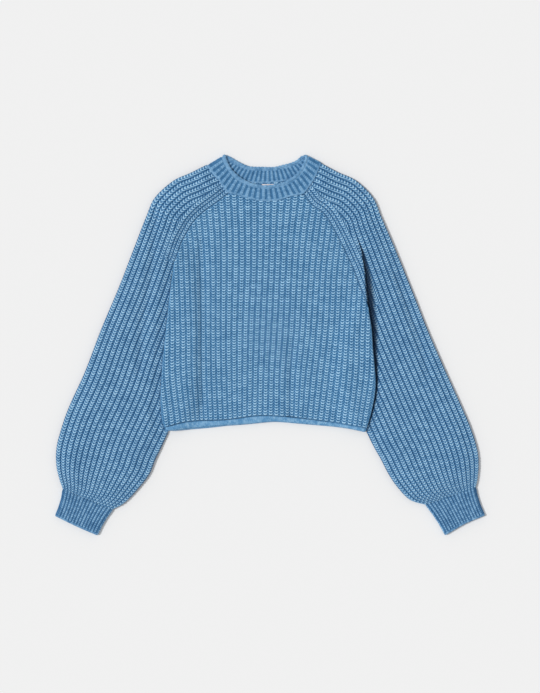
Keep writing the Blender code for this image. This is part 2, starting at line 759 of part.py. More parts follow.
    def along(line, point):
        """Length along the line to the place nearest the point."""
        x, y = mesh.v[point][:2]
        best, out, run = 1e9, 0.0, 0.0
        for a, b in zip(line, line[1:]):
            dx, dy = b[0] - a[0], b[1] - a[1]
            t = min(max(((x - a[0]) * dx + (y - a[1]) * dy) / (dx * dx + dy * dy), 0.0), 1.0)
            d = math.hypot(x - a[0] - t * dx, y - a[1] - t * dy)
            if d < best:
                best, out = d, run + t * math.hypot(dx, dy)
            run += math.hypot(dx, dy)
        return out

    up_len, low_len = lengths(rim_up)[-1], lengths(rim_low)[-1]

    def skin(upper_keys, lower_keys, outside, rows):
        """One surface of the tube; returns its rims as points with their places along them."""
        top = [layer(k / fine, True, outside, rows) for k in upper_keys]
        low = [layer(1 - k / lower_count, False, outside, rows) for k in lower_keys]
        inner = [fold(1.0, turn) for turn in ARC] if outside else []
        outer = [fold(0.0, turn) for turn in reversed(ARC)] if outside else []
        ring = top + inner + low + outer
        rim_at = upper_keys.index(rim_column)
        low_at = len(top) + len(inner)
        head = []
        for n, one in enumerate(ring):
            two = ring[(n + 1) % len(ring)]
            if n == rim_at:
                one, free = from_place(one, two[0][0])
                head += [(along(rim_up, p), p) for p in free]
            elif n == low_at - 1:
                two, free = from_place(two, one[0][0])
                if inner:
                    head.append((up_len + 0.2 * len(inner), one[0][1]))
                else:
                    head.append((up_len, one[0][1]))
                head += [(up_len + 1 + low_len - along(rim_low, p), p) for p in reversed(free)]
            elif n < len(top):
                head.append((along(rim_up, one[0][1]), one[0][1]))
            elif n < low_at:
                head.append((up_len + 0.2 * (n - len(top) + 1), one[0][1]))
            elif n == low_at:
                pass
            elif n < low_at + len(low):
                head.append((up_len + 1 + low_len - along(rim_low, one[0][1]), one[0][1]))
            else:
                head.append((up_len + low_len + 1 + 0.2 * (n - low_at - len(low) + 1), one[0][1]))
            strip(one, two)
        foot = [(k / fine, c[-1][1]) for k, c in zip(upper_keys, top)]
        foot += [(1 + t, c[-1][1]) for t, c in zip(ARC, inner)]
        foot += [(2 + k / lower_count, c[-1][1]) for k, c in zip(lower_keys, low)]
        foot += [(3 + t, c[-1][1]) for t, c in zip(ARC, outer)]
        return head, foot

    keys = sorted(set(range(0, fine + 1, 3)) | {rim_column})
    head, foot = skin(list(range(fine + 1)), list(range(lower_count + 1)), True, rows)
    head_in, foot_in = skin(keys, list(range(0, lower_count + 1)), False, rows[::2])
    for one, two, span in ((head, head_in, up_len + low_len + 2), (foot, foot_in, 4)):
        mesh.zip([c[1] for c in one], [c[0] for c in one],
                 [c[1] for c in two], [c[0] for c in two], span)
    return mesh


def label():
    x0, y0, x1, y1, thick = LABEL
    mesh = Mesh()
    z0 = BACK_WALL + CLEAR
    ids = [mesh.point(x, y, z) for z in (z0, z0 + thick) for x, y in
           ((x0, y0), (x1, y0), (x1, y1), (x0, y1))]
    for f in ((3, 2, 1, 0), (4, 5, 6, 7), (0, 1, 5, 4), (1, 2, 6, 5), (2, 3, 7, 6), (3, 0, 4, 7)):
        mesh.f.append([ids[k] for k in f])
    return mesh


# ---- objects -------------------------------------------------------------------------------------
def material(name, colour, roughness):
    mat = bpy.data.materials.new(name)
    mat.use_nodes = True
    shader = mat.node_tree.nodes["Principled BSDF"]
    shader.inputs["Base Color"].default_value = (*colour, 1.0)
    shader.inputs["Roughness"].default_value = roughness
    return mat


def main():
    for old in list(bpy.data.objects):
        bpy.data.objects.remove(old, do_unlink=True)
    knit = (0.120, 0.262, 0.455)
    pieces = {
        "front": (front_panel(), knit, 0.9),
        "back": (back_panel(), knit, 0.9),
        "sleeve_right": (sleeve("right"), knit, 0.9),
        "sleeve_left": (sleeve("left"), knit, 0.9),
        "collar": (collar(), (0.105, 0.250, 0.440), 0.9),
        "cuff_right": (cuff("right"), (0.095, 0.230, 0.410), 0.9),
        "cuff_left": (cuff("left"), (0.095, 0.230, 0.410), 0.9),
        "hem": (hem(), (0.135, 0.290, 0.490), 0.9),
        "neck_label": (label(), (0.80, 0.75, 0.74), 0.7),
    }
    every = [p for mesh, _, _ in pieces.values() for p in mesh.v]
    mid = [(min(p[k] for p in every) + max(p[k] for p in every)) / 2 for k in (0, 1)]
    for name, (mesh, colour, roughness) in pieces.items():
        data = bpy.data.meshes.new(name)
        data.from_pydata([((x - mid[0]) * MM, (y - mid[1]) * MM, z * MM) for x, y, z in mesh.v],
                         [], mesh.f)
        work = bmesh.new()
        work.from_mesh(data)
        loose = [v for v in work.verts if not v.link_faces]
        bmesh.ops.delete(work, geom=loose, context="VERTS")
        bmesh.ops.recalc_face_normals(work, faces=work.faces)
        work.to_mesh(data)
        work.free()
        data.materials.append(material(name + "_mat", colour, roughness))
        thing = bpy.data.objects.new(name, data)
        bpy.context.collection.objects.link(thing)


main()
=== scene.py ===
"""Looks of the cropped raglan sweater that lies flat on its back.

Tables and lengths are in millimetres, in the plan that the solids were drawn in: X to the
wearer's left, Y towards the neck, Z up from the surface.  Each panel is a closed wall whose
outer face is built stitch by stitch on a grid that follows its wales and rows.
"""

import math

import bmesh
import bpy
import numpy as np
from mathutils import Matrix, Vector, kdtree
from mathutils.geometry import delaunay_2d_cdt


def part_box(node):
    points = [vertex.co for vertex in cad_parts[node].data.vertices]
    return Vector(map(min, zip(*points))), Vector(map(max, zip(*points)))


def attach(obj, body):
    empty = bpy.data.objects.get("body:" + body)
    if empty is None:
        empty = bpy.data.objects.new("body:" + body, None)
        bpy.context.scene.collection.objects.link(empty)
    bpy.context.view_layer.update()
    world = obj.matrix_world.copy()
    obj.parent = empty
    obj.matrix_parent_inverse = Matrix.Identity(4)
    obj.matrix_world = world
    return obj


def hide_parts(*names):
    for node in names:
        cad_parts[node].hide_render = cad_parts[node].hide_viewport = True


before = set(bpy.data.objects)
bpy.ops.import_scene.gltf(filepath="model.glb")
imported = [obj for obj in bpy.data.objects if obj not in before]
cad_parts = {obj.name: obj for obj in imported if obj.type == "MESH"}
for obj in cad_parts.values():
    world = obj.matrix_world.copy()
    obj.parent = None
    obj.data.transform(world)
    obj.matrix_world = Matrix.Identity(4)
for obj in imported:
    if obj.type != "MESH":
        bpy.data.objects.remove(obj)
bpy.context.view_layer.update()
MM = 0.001
SIDES = (("right", -1), ("left", 1))   # the wearer's, with the sign of x there

# ---- cloth ---------------------------------------------------------------
BACK_WALL = 3.4        # back panel
FRONT_WALL = 3.4       # front panel between its ribs
LOW_WALL = 2.9         # lower layer of a flattened tube
BAND_WALL = 4.1        # upper layer of the collar, the cuffs and the hem, with its ribs
SLEEVE_WALL = 5.2      # upper layer of a sleeve, with its wales
SEAM_GAP = 0.06        # half of the slit left between neighbouring pieces
OVERLAP = 0.7          # how far the collar and the hem are linked over the panels' edges
CLEAR = 0.3            # air between layers that lie on each other
TUCK_CLEAR = 0.9       # air between a tucked sleeve and the body over it
SLOT = 0.8             # least air between the two layers of a tube
TUBE = 7.8             # height of a tube at its folds
TUCKED = 6.3           # height of a sleeve where the body lies on it
BODY_WALES = 40
SLEEVE_WALES = 18
COLLAR_RIBS = 24
CUFF_RIBS = 14
HEM_LOOPS = 84

# ---- how the body lies ---------------------------------------------------
SHELF = (6, 44)        # the body is all up this near a tucked edge, and down this far from it
AIR = 1.0              # how far the middle of the front stays off the back
AIR_RIM = 25           # the front rises to that over this much cloth from its raglan seams
AIR_SIDES = (172, 147) # and between these places from the middle
AIR_PRESSED = 0.85     # share of it that a soft fold presses out
FRONT_ROLL = (3.4, 2.2)   # radius of the front's right and left side folds
ROLL_ENDS = 9          # they lose their roll this near a seam
BACK_ROLL = 3.2        # radius of the back's side folds
BACK_ROLL_Y = ((-150, -138), (100, 80))    # heights between which these come and go
SEAM_SINK = (0.5, 2)   # how much lower the front is at its seams, and how far in
KNOBS = 0.5            # how far the ribs' ends stand up along the raglan seams
KNOBS_AT = (4.8, 2.0)  # their distance from the seam and their spread
FOLD_DEPTH = 2.5       # how much thinner the front is in its soft folds
# each soft fold's x and half width, then the heights where its ends are gone and full
FRONT_FOLDS = ((-122, 8, (-150, -110), (225, 165)), (39, 9, (-300, -200), (50, -30)))
FOLD_START = (0.6, 1)  # the back's side folds start this far inside and below the armpit,
FOLD_JOIN = 8          # and join the body's edge this far below it
HEM_DROP = 1.8         # the back's hem shows this much below the front's
HEM_DROP_X = ((-185, -155), (-110, -40))   # from where to where it comes and goes
HEM_HEIGHT = 8.6       # top of the rolled hem over what it lies on

# ---- where the front's ribs run ------------------------------------------
FRONT_REACH = (-165, 290)   # its rows are laid between these heights
HEM_LEVEL = -138       # height at which its rows are counted from the hem
ROWS_BEND = (-80, 70)  # rows follow the hem's line up to the first height, and are level from the next
# rib number, then the rib's x at each height of RIB_Y
RIB_Y = (247.5, 193.5, 132.3, 26.1, -54.9, -135.9)
RIB_X = (
    (-1, -230.0, -216.0, -206.0, -204.0, -204.0, -196.0),
    (0, -212.0, -200.0, -195.0, -194.0, -195.0, -186.3),
    (3, -177.0, -173.0, -168.7, -165.1, -164.3, -155.3),
    (6, -153.0, -143.8, -139.9, -136.4, -135.4, -130.0),
    (8, -131.0, -125.3, -121.0, -119.5, -118.8, -114.7),
    (12, -86.6, -83.0, -82.6, -83.7, -82.6, -79.6),
    (16, -40.0, -38.9, -39.4, -43.7, -44.8, -45.2),
    (20, 8.3, 5.8, 3.1, -2.5, -6.7, -8.6),
    (24, 55.6, 48.8, 44.5, 38.7, 32.0, 31.0),
    (28, 101.0, 93.2, 85.9, 78.5, 69.3, 62.6),
    (32, 141.0, 133.2, 126.2, 120.1, 111.8, 101.3),
    (36, 178.0, 171.0, 164.7, 156.6, 153.5, 144.0),
    (39, 210.0, 202.0, 193.0, 186.5, 183.5, 170.8),
    (40, 222.0, 214.0, 204.0, 197.0, 194.0, 181.0),
)

# ---- outlines ------------------------------------------------------------
RAGLAN = {             # front raglan seam, from the neck to where the body's side fold begins
    "right": ((-73, 273.2), (-98.2, 254.2), (-120.9, 237.5), (-137.4, 221), (-147.9, 204.7),
              (-159.6, 182.3), (-167, 160), (-172, 148)),
    "left": ((60, 272), (78, 250), (93, 240), (105, 226), (116, 207), (128, 184), (141, 157),
             (152, 133), (160, 111), (168, 91), (177, 66)),
}
BODY_EDGE = {          # side fold of the body, downwards
    "right": ((-172, 148), (-178, 108), (-181, 82), (-184, 57), (-186, 35), (-188, 15),
              (-193, -28), (-196, -71), (-197, -96), (-196, -120), (-193, -140), (-189, -148)),
    "left": ((177, 66), (183, 26), (185, -5), (188, -37), (190, -69), (188, -94), (183, -119),
             (177, -141), (174, -150)),
}
HEM_TOP = ((-189, -149), (-148, -138.5), (-78, -135), (-23, -128), (21, -129), (86, -136),
           (140, -144), (174, -150.5))
HEM_BOTTOM = ((-185, -154.8), (-169, -153.4), (-137, -149.9), (-106, -147.4), (-79, -145.1),
              (-58, -144.3), (-36, -142.5), (-7, -139.6), (7, -138.9), (22, -139.5), (59, -142.8),
              (115, -147.8), (145, -151.9), (172, -157.5))
NECK_SEAM = ((-113, 322), (-106, 313), (-97, 302), (-87, 290), (-79, 277), (-73, 273.2), (-60, 270),
             (-36, 263), (-12, 259), (13, 260), (37, 267), (60, 272), (70, 284), (78, 296),
             (85, 310), (92, 327))
NECK_EDGE = ((-82, 340.5), (-78.5, 329), (-71, 315.5), (-60.5, 304), (-47, 295), (-29.5, 287.5),
             (-12, 284.5), (6, 285.5), (24.5, 289.5), (36, 295.5), (47.5, 304), (57, 315.5),
             (64, 330.5), (66, 340.5))
BACK_SEAM = ((-113, 322), (-81, 303), (-58, 297), (-36, 293), (-12, 292), (13, 294), (36, 298),
             (61, 306), (92, 327))
BACK_EDGE = ((-82, 340.5), (-72, 336), (-60, 329), (-48, 323), (-36, 319), (-12, 318), (8, 318),
             (25, 322), (37, 325), (49, 330), (58, 337.5), (66, 340.5))

# ---- outlines of the sleeves and cuffs -----------------------------------
# a row per station across the sleeve: outer fold x, y, then the inner end of the same line
STATIONS = {
    "right": ((-104, 328.5, -38, 175), (-144, 308.3, -68, 159), (-173, 295, -78, 154),
              (-207, 264, -79, 149), (-222, 231, -76, 147), (-243, 177, -84, 116),
              (-272, 102, -110, 36), (-304, 26, -141, -41), (-333, -50, -165, -118),
              (-362, -114, -195, -183), (-376, -154, -207, -208), (-384, -187, -217, -233),
              (-384, -219, -236, -258), (-377, -248, -261, -284), (-373, -260, -283, -297.5)),
    "left": ((85, 330.5, 22, 175), (122, 310.5, 50, 159), (155, 295, 65, 154), (186, 264, 66, 149),
             (200, 231, 62, 142), (220, 185, 66, 118), (254, 102, 92, 36), (284, 26, 124, -41),
             (317, -50, 157, -117), (346, -114, 186, -181), (362, -152, 200, -206),
             (373.5, -190, 214, -233), (376, -215, 228, -254), (374, -240, 252, -279),
             (371, -257, 280, -288.5)),
}
TUCK_EDGE = {          # the sleeve's inner fold, from above the armpit down, under the body first
    "right": ((-156, 180), (-160, 118), (-152, 85), (-147, 40), (-145, 0), (-147, -40),
              (-156, -92), (-165, -119), (-178, -146), (-195, -183)),
    "left": ((161, 110), (163, 38), (152, 0), (146, -40), (146, -80), (154, -112), (168, -143),
             (186, -181)),
}
BACK_RAGLAN = {        # back raglan seam, from the collar to the armpit
    "right": ((-81, 303), (-107, 245), (-134, 182), (-160, 118)),
    "left": ((61, 306), (94, 226), (129, 132), (163, 38)),
}
CREVICE = ((143, 217), (158, 190), (166, 166), (171, 138), (174, 114), (176, 91), (178, 66))
# heights down the deep crease beside the left side fold, with how wide the painted shade in it is
# there
CREASE_REACH = ((206, 0.5), (190, 1.6), (172, 3.6), (152, 6.4), (125, 10), (98, 12.6),
                (80, 13.4), (26, 13.4), (-10, 10.5), (-46, 8.2), (-73, 6.2), (-100, 5), (-127, 3.6),
                (-154, 1.6))
SOFT_TROUGH = {        # a shallow fold down the upper sleeve
    "right": ((-205, 236), (-212, 134), (-230, 26), (-234, -46)),
    "left": ((232, 120), (262, 30), (285, -50)),
}
CUFF = {               # seam outer, seam inner, edge outer, edge inner
    "right": ((-373, -260), (-283, -297.5), (-386, -307), (-310, -342)),
    "left": ((371, -257), (280, -288.5), (386.5, -306), (315, -341.5)),
}
CUFF_BOW = {"right": (1, -1.5), "left": (-0.5, 2.5)}    # middle of each free edge, off its line
CUFF_WAIST = 0.05      # how far a cuff's sides are pulled in, as a share of its half width
LABEL = (-14.5, 269, 14, 288.8, 0.9)   # x0, y0, x1, y1, thickness
LABEL_EDGE = 0.25      # radius of its edges
LABEL_SOLID_X = -19    # left edge of the label's solid in the plan
SHIFT_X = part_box("neck_label")[0][0] / MM - LABEL_SOLID_X     # from the plan to the part's own x

# ---- points of the meshes ------------------------------------------------
EDGE_STEP = 1.3        # along the outline of a knitted face
MARGIN = 0.55          # its stitch cells end this far inside the outline
NEAR_RING = 4          # only grid points this near an outline are measured exactly
ROW_POINTS = 4         # up each row
BODY_CUTS = (0.0, 0.13, 0.3, 0.5, 0.7, 0.87)              # across each wale, as shares of it
SLEEVE_CUTS = (0.0, 0.1, 0.22, 0.36, 0.5, 0.64, 0.78, 0.9)
BAND_CUTS = 8
UNDER_STEP = 9         # along the outline of the front's underside,
BACK_STEP = 4          # of the back's faces,
LOW_STEP = 2.5         # of a sleeve's lower layer at its rim
INSIDE_STEP = 8        # and of its inner layers
# how far apart points are on plain faces, and how far in they start
UNDER_SPOTS, BACK_SPOTS, LOW_SPOTS, INSIDE_SPOTS = (16, 5), (9, 6), (12, 7), (22, 8)
BACK_FOLD_ROWS = (1.2, 3.2)       # rows of points along side folds are this far in
SLEEVE_FOLD_ROWS = (0.6, 1.8, 3.9)
MERGE = 1e-5           # outline points closer than this are one

# ---- stitches ------------------------------------------------------------
SLANT = 0.9            # how many rows a leg of a stitch climbs from the middle to the groove
UNEVEN = 0.22          # how much the stitches differ in height
GAP_SHARPNESS = 1.2    # 1 is a round gap between rows, more a narrower one
PURL = 0.16            # rise of the purl bump in a groove, and its share of the wale's half
# how far from a seam, and from a side fold or the body's edge, stitches start, and over how much
FRONT_STITCHES = ((0.1, 1.2), (0.8, 2.4))
SLEEVE_STITCHES = ((0.1, 0.9), (0.2, 1.2))


class Stitch:
    """Height of a row, rise of the yarn and bow of the legs, where 1 is a straight V and 2 a
    round U, all in millimetres but the bow.  A profile line is a share of the wale's half
    width, the height of the leg there and how deep the gap between rows goes."""

    def __init__(self, row, rise, bow, *profile):
        self.row, self.rise, self.bow = row, rise, bow
        self.at, self.leg, self.gap = np.transpose(profile)

    def climb(self, u):
        """How far up its row a stitch's leg is at wale u, in rows; grooves are at a whole u."""
        return SLANT * np.abs(2 * (u - np.floor(u)) - 1) ** self.bow

    def relief(self, u, v):
        """How far the yarn stands up at wale u and row v."""
        a = np.abs(2 * (u - np.floor(u)) - 1)
        turn = v - self.climb(u)
        wave = ripple(turn) ** GAP_SHARPNESS
        uneven = 1 + UNEVEN * (chance(np.floor(u), np.round(turn)) - 0.5)
        leg = np.interp(a, self.at, self.leg) * (1 - np.interp(a, self.at, self.gap) * wave)
        purl = PURL * ease((a - (1 - PURL)) / PURL) * ripple(v - SLANT)
        return self.rise * (leg * uneven + purl)


def ripple(turn):
    """0 at whole turns and 1 between them."""
    return 0.5 - 0.5 * np.cos(2 * math.pi * turn)


def chance(wale, row):
    """A number from 0 to 1 for each stitch, always the same one."""
    big = np.sin(wale * 12.9898 + row * 78.233) * 43758.5453
    return big - np.floor(big)


# ---- lines ---------------------------------------------------------------
def ease(t):
    """0 up to t = 0 and 1 from t = 1 on, with no kink."""
    t = np.clip(t, 0.0, 1.0)
    return t * t * (3 - 2 * t)


def fade(value, gone, full):
    """0 at gone and past it, 1 at full and past it."""
    return ease((value - gone) / (full - gone))


def grows(value, start, over):
    """0 up to start, then 1 after that much more."""
    return ease((value - start) / over)


def hermite(xs, ys, x):
    """Smooth curve through (xs, ys), straight past its ends; ys may have a column for each x."""
    xs, ys = np.asarray(xs, float), np.asarray(ys, float)
    shape, x = np.shape(x), np.ravel(np.asarray(x, float))
    if ys.ndim == 1:
        ys = np.broadcast_to(ys[:, None], (len(ys), x.size))
    slope = np.empty(ys.shape)
    slope[1:-1] = (ys[2:] - ys[:-2]) / (xs[2:] - xs[:-2])[:, None]
    slope[0] = (ys[1] - ys[0]) / (xs[1] - xs[0])
    slope[-1] = (ys[-1] - ys[-2]) / (xs[-1] - xs[-2])
    i = np.clip(np.searchsorted(xs, x, side="right") - 1, 0, len(xs) - 2)
    n = np.arange(x.size)
    h = xs[i + 1] - xs[i]
    t = (x - xs[i]) / h
    a, b = ys[i, n], ys[i + 1, n]
    out = ((2 * t ** 3 - 3 * t * t + 1) * a + (t ** 3 - 2 * t * t + t) * h * slope[i, n]
           + (3 * t * t - 2 * t ** 3) * b + (t ** 3 - t * t) * h * slope[i + 1, n])
    out = np.where(t < 0, a + t * h * slope[0], out)
    out = np.where(t > 1, b + (t - 1) * h * slope[-1], out)
    return out.reshape(shape)


def stepped(y, start, *steps):
    """start, and what each step adds between its two heights."""
    for amount, gone, full in steps:
        start = start + amount * fade(y, gone, full)
    return start


def lengths(line):
    """How far along the broken line each of its points is."""
    line = np.asarray(line, float)
    return np.concatenate(([0.0], np.cumsum(np.hypot(*np.diff(line, axis=0).T))))


def dense(line, step=3.0):
    """The smooth curve as many points, the line's own among them."""
    line = np.asarray(line, float)
    run = lengths(line)
    q = [0.0]
    for a, b in zip(run, run[1:]):
        n = max(1, math.ceil((b - a) / step))
        q += [a + (b - a) * k / n for k in range(1, n + 1)]
    return np.stack([hermite(run, line[:, c], q) for c in (0, 1)], 1)


def points_at(line, fraction):
    """Points at fractions of the length of a smooth curve through the line's points."""
    line = np.asarray(line, float)
    run = lengths(line)
    q = np.asarray(fraction) * run[-1]
    return np.stack([hermite(run, line[:, c], q) for c in (0, 1)], -1)


def evenly(line, step):
    """The same broken line with points a step apart."""
    run = lengths(line)
    n = max(1, round(run[-1] / step))
    q = np.linspace(0, run[-1], n + 1)
    return np.stack([np.interp(q, run, line[:, c]) for c in (0, 1)], 1)


def part(line, p, q):
    """Stretch of a dense line from the point nearest p to that nearest q."""
    i, j = (int(np.argmin(np.hypot(*(line - np.asarray(r)).T))) for r in (p, q))
    return line[i:j + 1] if i <= j else line[j:i + 1][::-1]


def shifted(line, d):
    """The line moved sideways by d, to the left of its run."""
    line = np.asarray(line, float)
    way = np.empty_like(line)
    way[1:-1] = line[2:] - line[:-2]
    way[0], way[-1] = line[1] - line[0], line[-1] - line[-2]
    way /= np.hypot(way[:, 0], way[:, 1])[:, None]
    return line + np.stack((-way[:, 1], way[:, 0]), 1) * np.reshape(d, (-1, 1))


def away(x, y, line):
    """Distance of points from the line."""
    best = np.full(np.shape(x), 1e9)
    for (ax, ay), (bx, by) in zip(line[:-1], line[1:]):
        dx, dy = bx - ax, by - ay
        t = np.clip(((x - ax) * dx + (y - ay) * dy) / (dx * dx + dy * dy), 0, 1)
        np.minimum(best, (x - ax - t * dx) ** 2 + (y - ay - t * dy) ** 2, out=best)
    return np.sqrt(best)


def x_at(line, y):
    """x of a line that runs down, at heights y."""
    line = np.asarray(line, float)
    return np.interp(-y, -line[:, 1], line[:, 0])


def inside(x, y, ring):
    """Which places are inside a closed outline."""
    hit = np.zeros(np.shape(x), bool)
    for (ax, ay), (bx, by) in zip(ring, np.roll(ring, -1, 0)):
        if ay != by:
            hit ^= ((ay > y) != (by > y)) & (x < ax + (bx - ax) * (y - ay) / (by - ay))
    return hit


def meeting(one, two):
    """Where two broken lines cross first: the segment of one, then the point."""
    for i, (p, q) in enumerate(zip(one[:-1], one[1:])):
        for a, b in zip(two[:-1], two[1:]):
            r, s = q - p, b - a
            den = r[0] * s[1] - r[1] * s[0]
            if den:
                t = ((a[0] - p[0]) * s[1] - (a[1] - p[1]) * s[0]) / den
                u = ((a[0] - p[0]) * r[1] - (a[1] - p[1]) * r[0]) / den
                if 0 <= t <= 1 and 0 <= u <= 1:
                    return i, p + r * t
    raise ValueError("two lines do not meet")


def closed(ring):
    """An outline with its first point once more at its end."""
    return np.vstack((ring, ring[:1]))


NECK = dense(NECK_SEAM)
BACK_NECK = dense(BACK_SEAM)
FRONT_RAGLAN = {side: dense(line) for side, line in RAGLAN.items()}
REAR_RAGLAN = {side: dense(line, 8) for side, line in BACK_RAGLAN.items()}
EDGE = {side: dense(line, 6) for side, line in BODY_EDGE.items()}
HEM_LINE = dense(HEM_TOP, 6)
FRONT_NECK = part(NECK, RAGLAN["left"][0], RAGLAN["right"][0])
REAR_NECK = part(BACK_NECK, BACK_RAGLAN["left"][0], BACK_RAGLAN["right"][0])
CREASE_LINE = CREVICE + BODY_EDGE["left"][1:]
CUFF_SEAM = {side: corners[:2] for side, corners in CUFF.items()}


# ---- heights -------------------------------------------------------------
def lift(x, y, front=False):
    """How far the body is held up by the sleeves tucked under its sides."""
    out = np.zeros(np.shape(x))
    for side, sign in SIDES:
        edge = TUCK_EDGE[side][1:]
        if front:
            edge = (RAGLAN[side][-1],) + edge
        over = (y < edge[0][1]) & (sign * (x - x_at(edge, y)) > 0)
        d = np.where(over, 0.0, away(x, y, edge))
        up = (TUCKED + TUCK_CLEAR) * (1 - fade(d, *SHELF))
        out = np.where(sign * x > 0, up, out)
    return out


def front_under(x, y):
    """Underside of the front panel: on the back, with a little air and two soft folds."""
    rim = np.minimum(away(x, y, RAGLAN["right"]), away(x, y, RAGLAN["left"]))
    full = AIR * ease(rim / AIR_RIM) * fade(np.abs(x), *AIR_SIDES)
    return lift(x, y, True) + BACK_WALL + CLEAR + full * (1 - AIR_PRESSED * soft_folds(x, y))


def soft_folds(x, y):
    """1 in the middle of the front's two soft upright folds."""
    folds = [bell(x - middle, half) * fade(y, *bottom) * fade(y, *top)
             for middle, half, bottom, top in FRONT_FOLDS]
    return np.minimum(sum(folds), 1.0)


def bell(d, spread):
    """1 at d = 0, fading away on both sides over the spread."""
    return np.exp(-(d / spread) ** 2)


def rolled(d, radius):
    """How far a cloth's face has dropped at distance d inside a fold of that radius."""
    return radius - np.sqrt(np.maximum(radius ** 2 - np.maximum(radius - d, 0) ** 2, 0))


# ---- the knits -----------------------------------------------------------
BODY = Stitch(4.85, 1.35, 2.5, (0, 0.76, 1.0), (0.2, 0.94, 0.75), (0.4, 1.0, 0.45),
              (0.58, 0.84, 0.5), (0.76, 0.45, 0.7), (0.92, 0.26, 0.7), (1, 0.24, 0.2))
SLEEVE = Stitch(4.9, 1.6, 1.3, (0, 0.6, 0.7), (0.2, 0.85, 0.55), (0.42, 1.0, 0.5),
                (0.62, 0.9, 0.7), (0.8, 0.6, 0.95), (1, 0.36, 1.0))
FINE = Stitch(3.4, 1.25, 2.0, (0, 1.0, 0.3), (0.25, 0.96, 0.25), (0.5, 0.72, 0.3),
              (0.75, 0.38, 0.4), (1, 0.18, 0.0))


def wale_columns(first, last, shares):
    """Column places from wale first to last, each wale cut at the given shares."""
    return np.array([k + s for k in range(first, last) for s in shares] + [last])


# ---- walls ---------------------------------------------------------------
class Skin:
    """Points, triangles and stitch coordinates of a piece of cloth."""

    def __init__(self):
        self.xy, self.tag = [], []
        self.tri, self.corner_uv = [], []
        self.count, self.known = 0, {}

    def add(self, xy, uv, tag):
        """New points; uv is each one's wale and row, tag tells the layers apart."""
        ids = np.arange(self.count, self.count + len(xy))
        self.xy.append(np.hstack((xy, uv)))
        self.tag.append(np.full(len(xy), tag))
        self.count += len(xy)
        return ids

    @staticmethod
    def key(p, tag):
        """What names an outline's point: its place and its layer."""
        return round(float(p[0]), 3), round(float(p[1]), 3), tag

    def border(self, xy, uv, tags):
        """Points of an outline; one that is already there with the same tag is shared."""
        for p, q, tag in zip(xy, uv, tags):
            if self.key(p, tag) not in self.known:
                self.known[self.key(p, tag)] = int(self.add(p[None], q[None], tag)[0])
        return np.array([self.known[self.key(p, tag)] for p, tag in zip(xy, tags)])

    def faces(self, tri, uv):
        """Triangles, with the wale and row at each corner."""
        self.tri.append(tri)
        self.corner_uv.append(uv)

    def close_slit(self, one, at_one, two, at_two, span):
        """Triangles between two rings whose points carry a place along the same run."""
        i = j = 0
        n, m = len(one), len(two)
        out = []
        while i < n or j < m:
            next1 = at_one[(i + 1) % n] + (span if i + 1 >= n else 0)
            next2 = at_two[(j + 1) % m] + (span if j + 1 >= m else 0)
            if j >= m or (i < n and next1 <= next2):
                out.append((one[i % n], one[(i + 1) % n], two[j % m]))
                i += 1
            else:
                out.append((one[i % n], two[(j + 1) % m], two[j % m]))
                j += 1
        out = np.array([t for t in out if len(set(t)) == 3])
        self.faces(out, np.vstack(self.xy)[out, 2:])

    def all_points(self):
        """Place, wale and row of each point, and its layer."""
        return np.vstack(self.xy), np.concatenate(self.tag)

    def normals(self, points, patches):
        """The direction that each point faces, by the first so many patches."""
        return face_normals(points, np.vstack(self.tri[:patches]), len(points))

    def piece(self, name, points, knit, material, painted_shade=None):
        """The finished piece."""
        uv = np.vstack(self.corner_uv)
        return make_piece(name, points, np.vstack(self.tri), uv, knit, material, painted_shade)


def signed_area(ring):
    """Area of an outline, positive when it turns left."""
    x, y = ring.T
    return np.sum(x * np.roll(y, -1) - y * np.roll(x, -1)) / 2


def turning_left(ring, first):
    """Numbers of an outline's points, from first on, in the order that turns left."""
    order = list(range(first, first + len(ring)))
    return order if signed_area(ring) > 0 else order[::-1]


def filled(ring, inner, hole):
    """Triangles over an outline, through the inner points or, where they go round a hole, up to
    them; numbers run over both in turn."""
    rings = [turning_left(ring, 0)] + ([turning_left(inner, len(ring))] if hole else [])
    flat = [Vector(p) for p in np.vstack((ring, inner)).tolist()]
    _, _, faces, origin, _, owner = delaunay_2d_cdt(flat, [], rings, 1, MERGE)
    back = [min(o) if o else -1 for o in origin]
    out = np.array([[back[k] for k in f] for f, o in zip(faces, owner) if 0 in o and 1 not in o])
    if out.min() < 0:
        raise ValueError("an outline crosses itself")
    return out


def facing(xy, tri, up=True):
    """The triangles turned to face up or down."""
    a, b, c = (xy[tri[:, k]] for k in range(3))
    area = (b[:, 0] - a[:, 0]) * (c[:, 1] - a[:, 1]) - (b[:, 1] - a[:, 1]) * (c[:, 0] - a[:, 0])
    turn = (area > 0) != up
    tri = tri.copy()
    tri[turn] = tri[turn][:, ::-1]
    return tri


def kept_cells(ok):
    """Cells of a grid whose four corners are good: one connected part, never joined at a
    corner only."""
    cell = ok[:-1, :-1] & ok[1:, :-1] & ok[:-1, 1:] & ok[1:, 1:]
    while True:
        a, b, c, d = cell[:-1, :-1], cell[1:, 1:], cell[1:, :-1], cell[:-1, 1:]
        one, two = a & b & ~c & ~d, c & d & ~a & ~b
        if not (one.any() or two.any()):
            break
        cell[:-1, :-1] &= ~one
        cell[1:, :-1] &= ~two
    reach = np.zeros_like(cell)
    start = np.argwhere(cell)
    start = start[len(start) // 2]
    reach[tuple(start)] = True
    while True:
        grown = reach.copy()
        grown[1:] |= reach[:-1]
        grown[:-1] |= reach[1:]
        grown[:, 1:] |= reach[:, :-1]
        grown[:, :-1] |= reach[:, 1:]
        grown &= cell
        if (grown == reach).all():
            return reach
        reach = grown


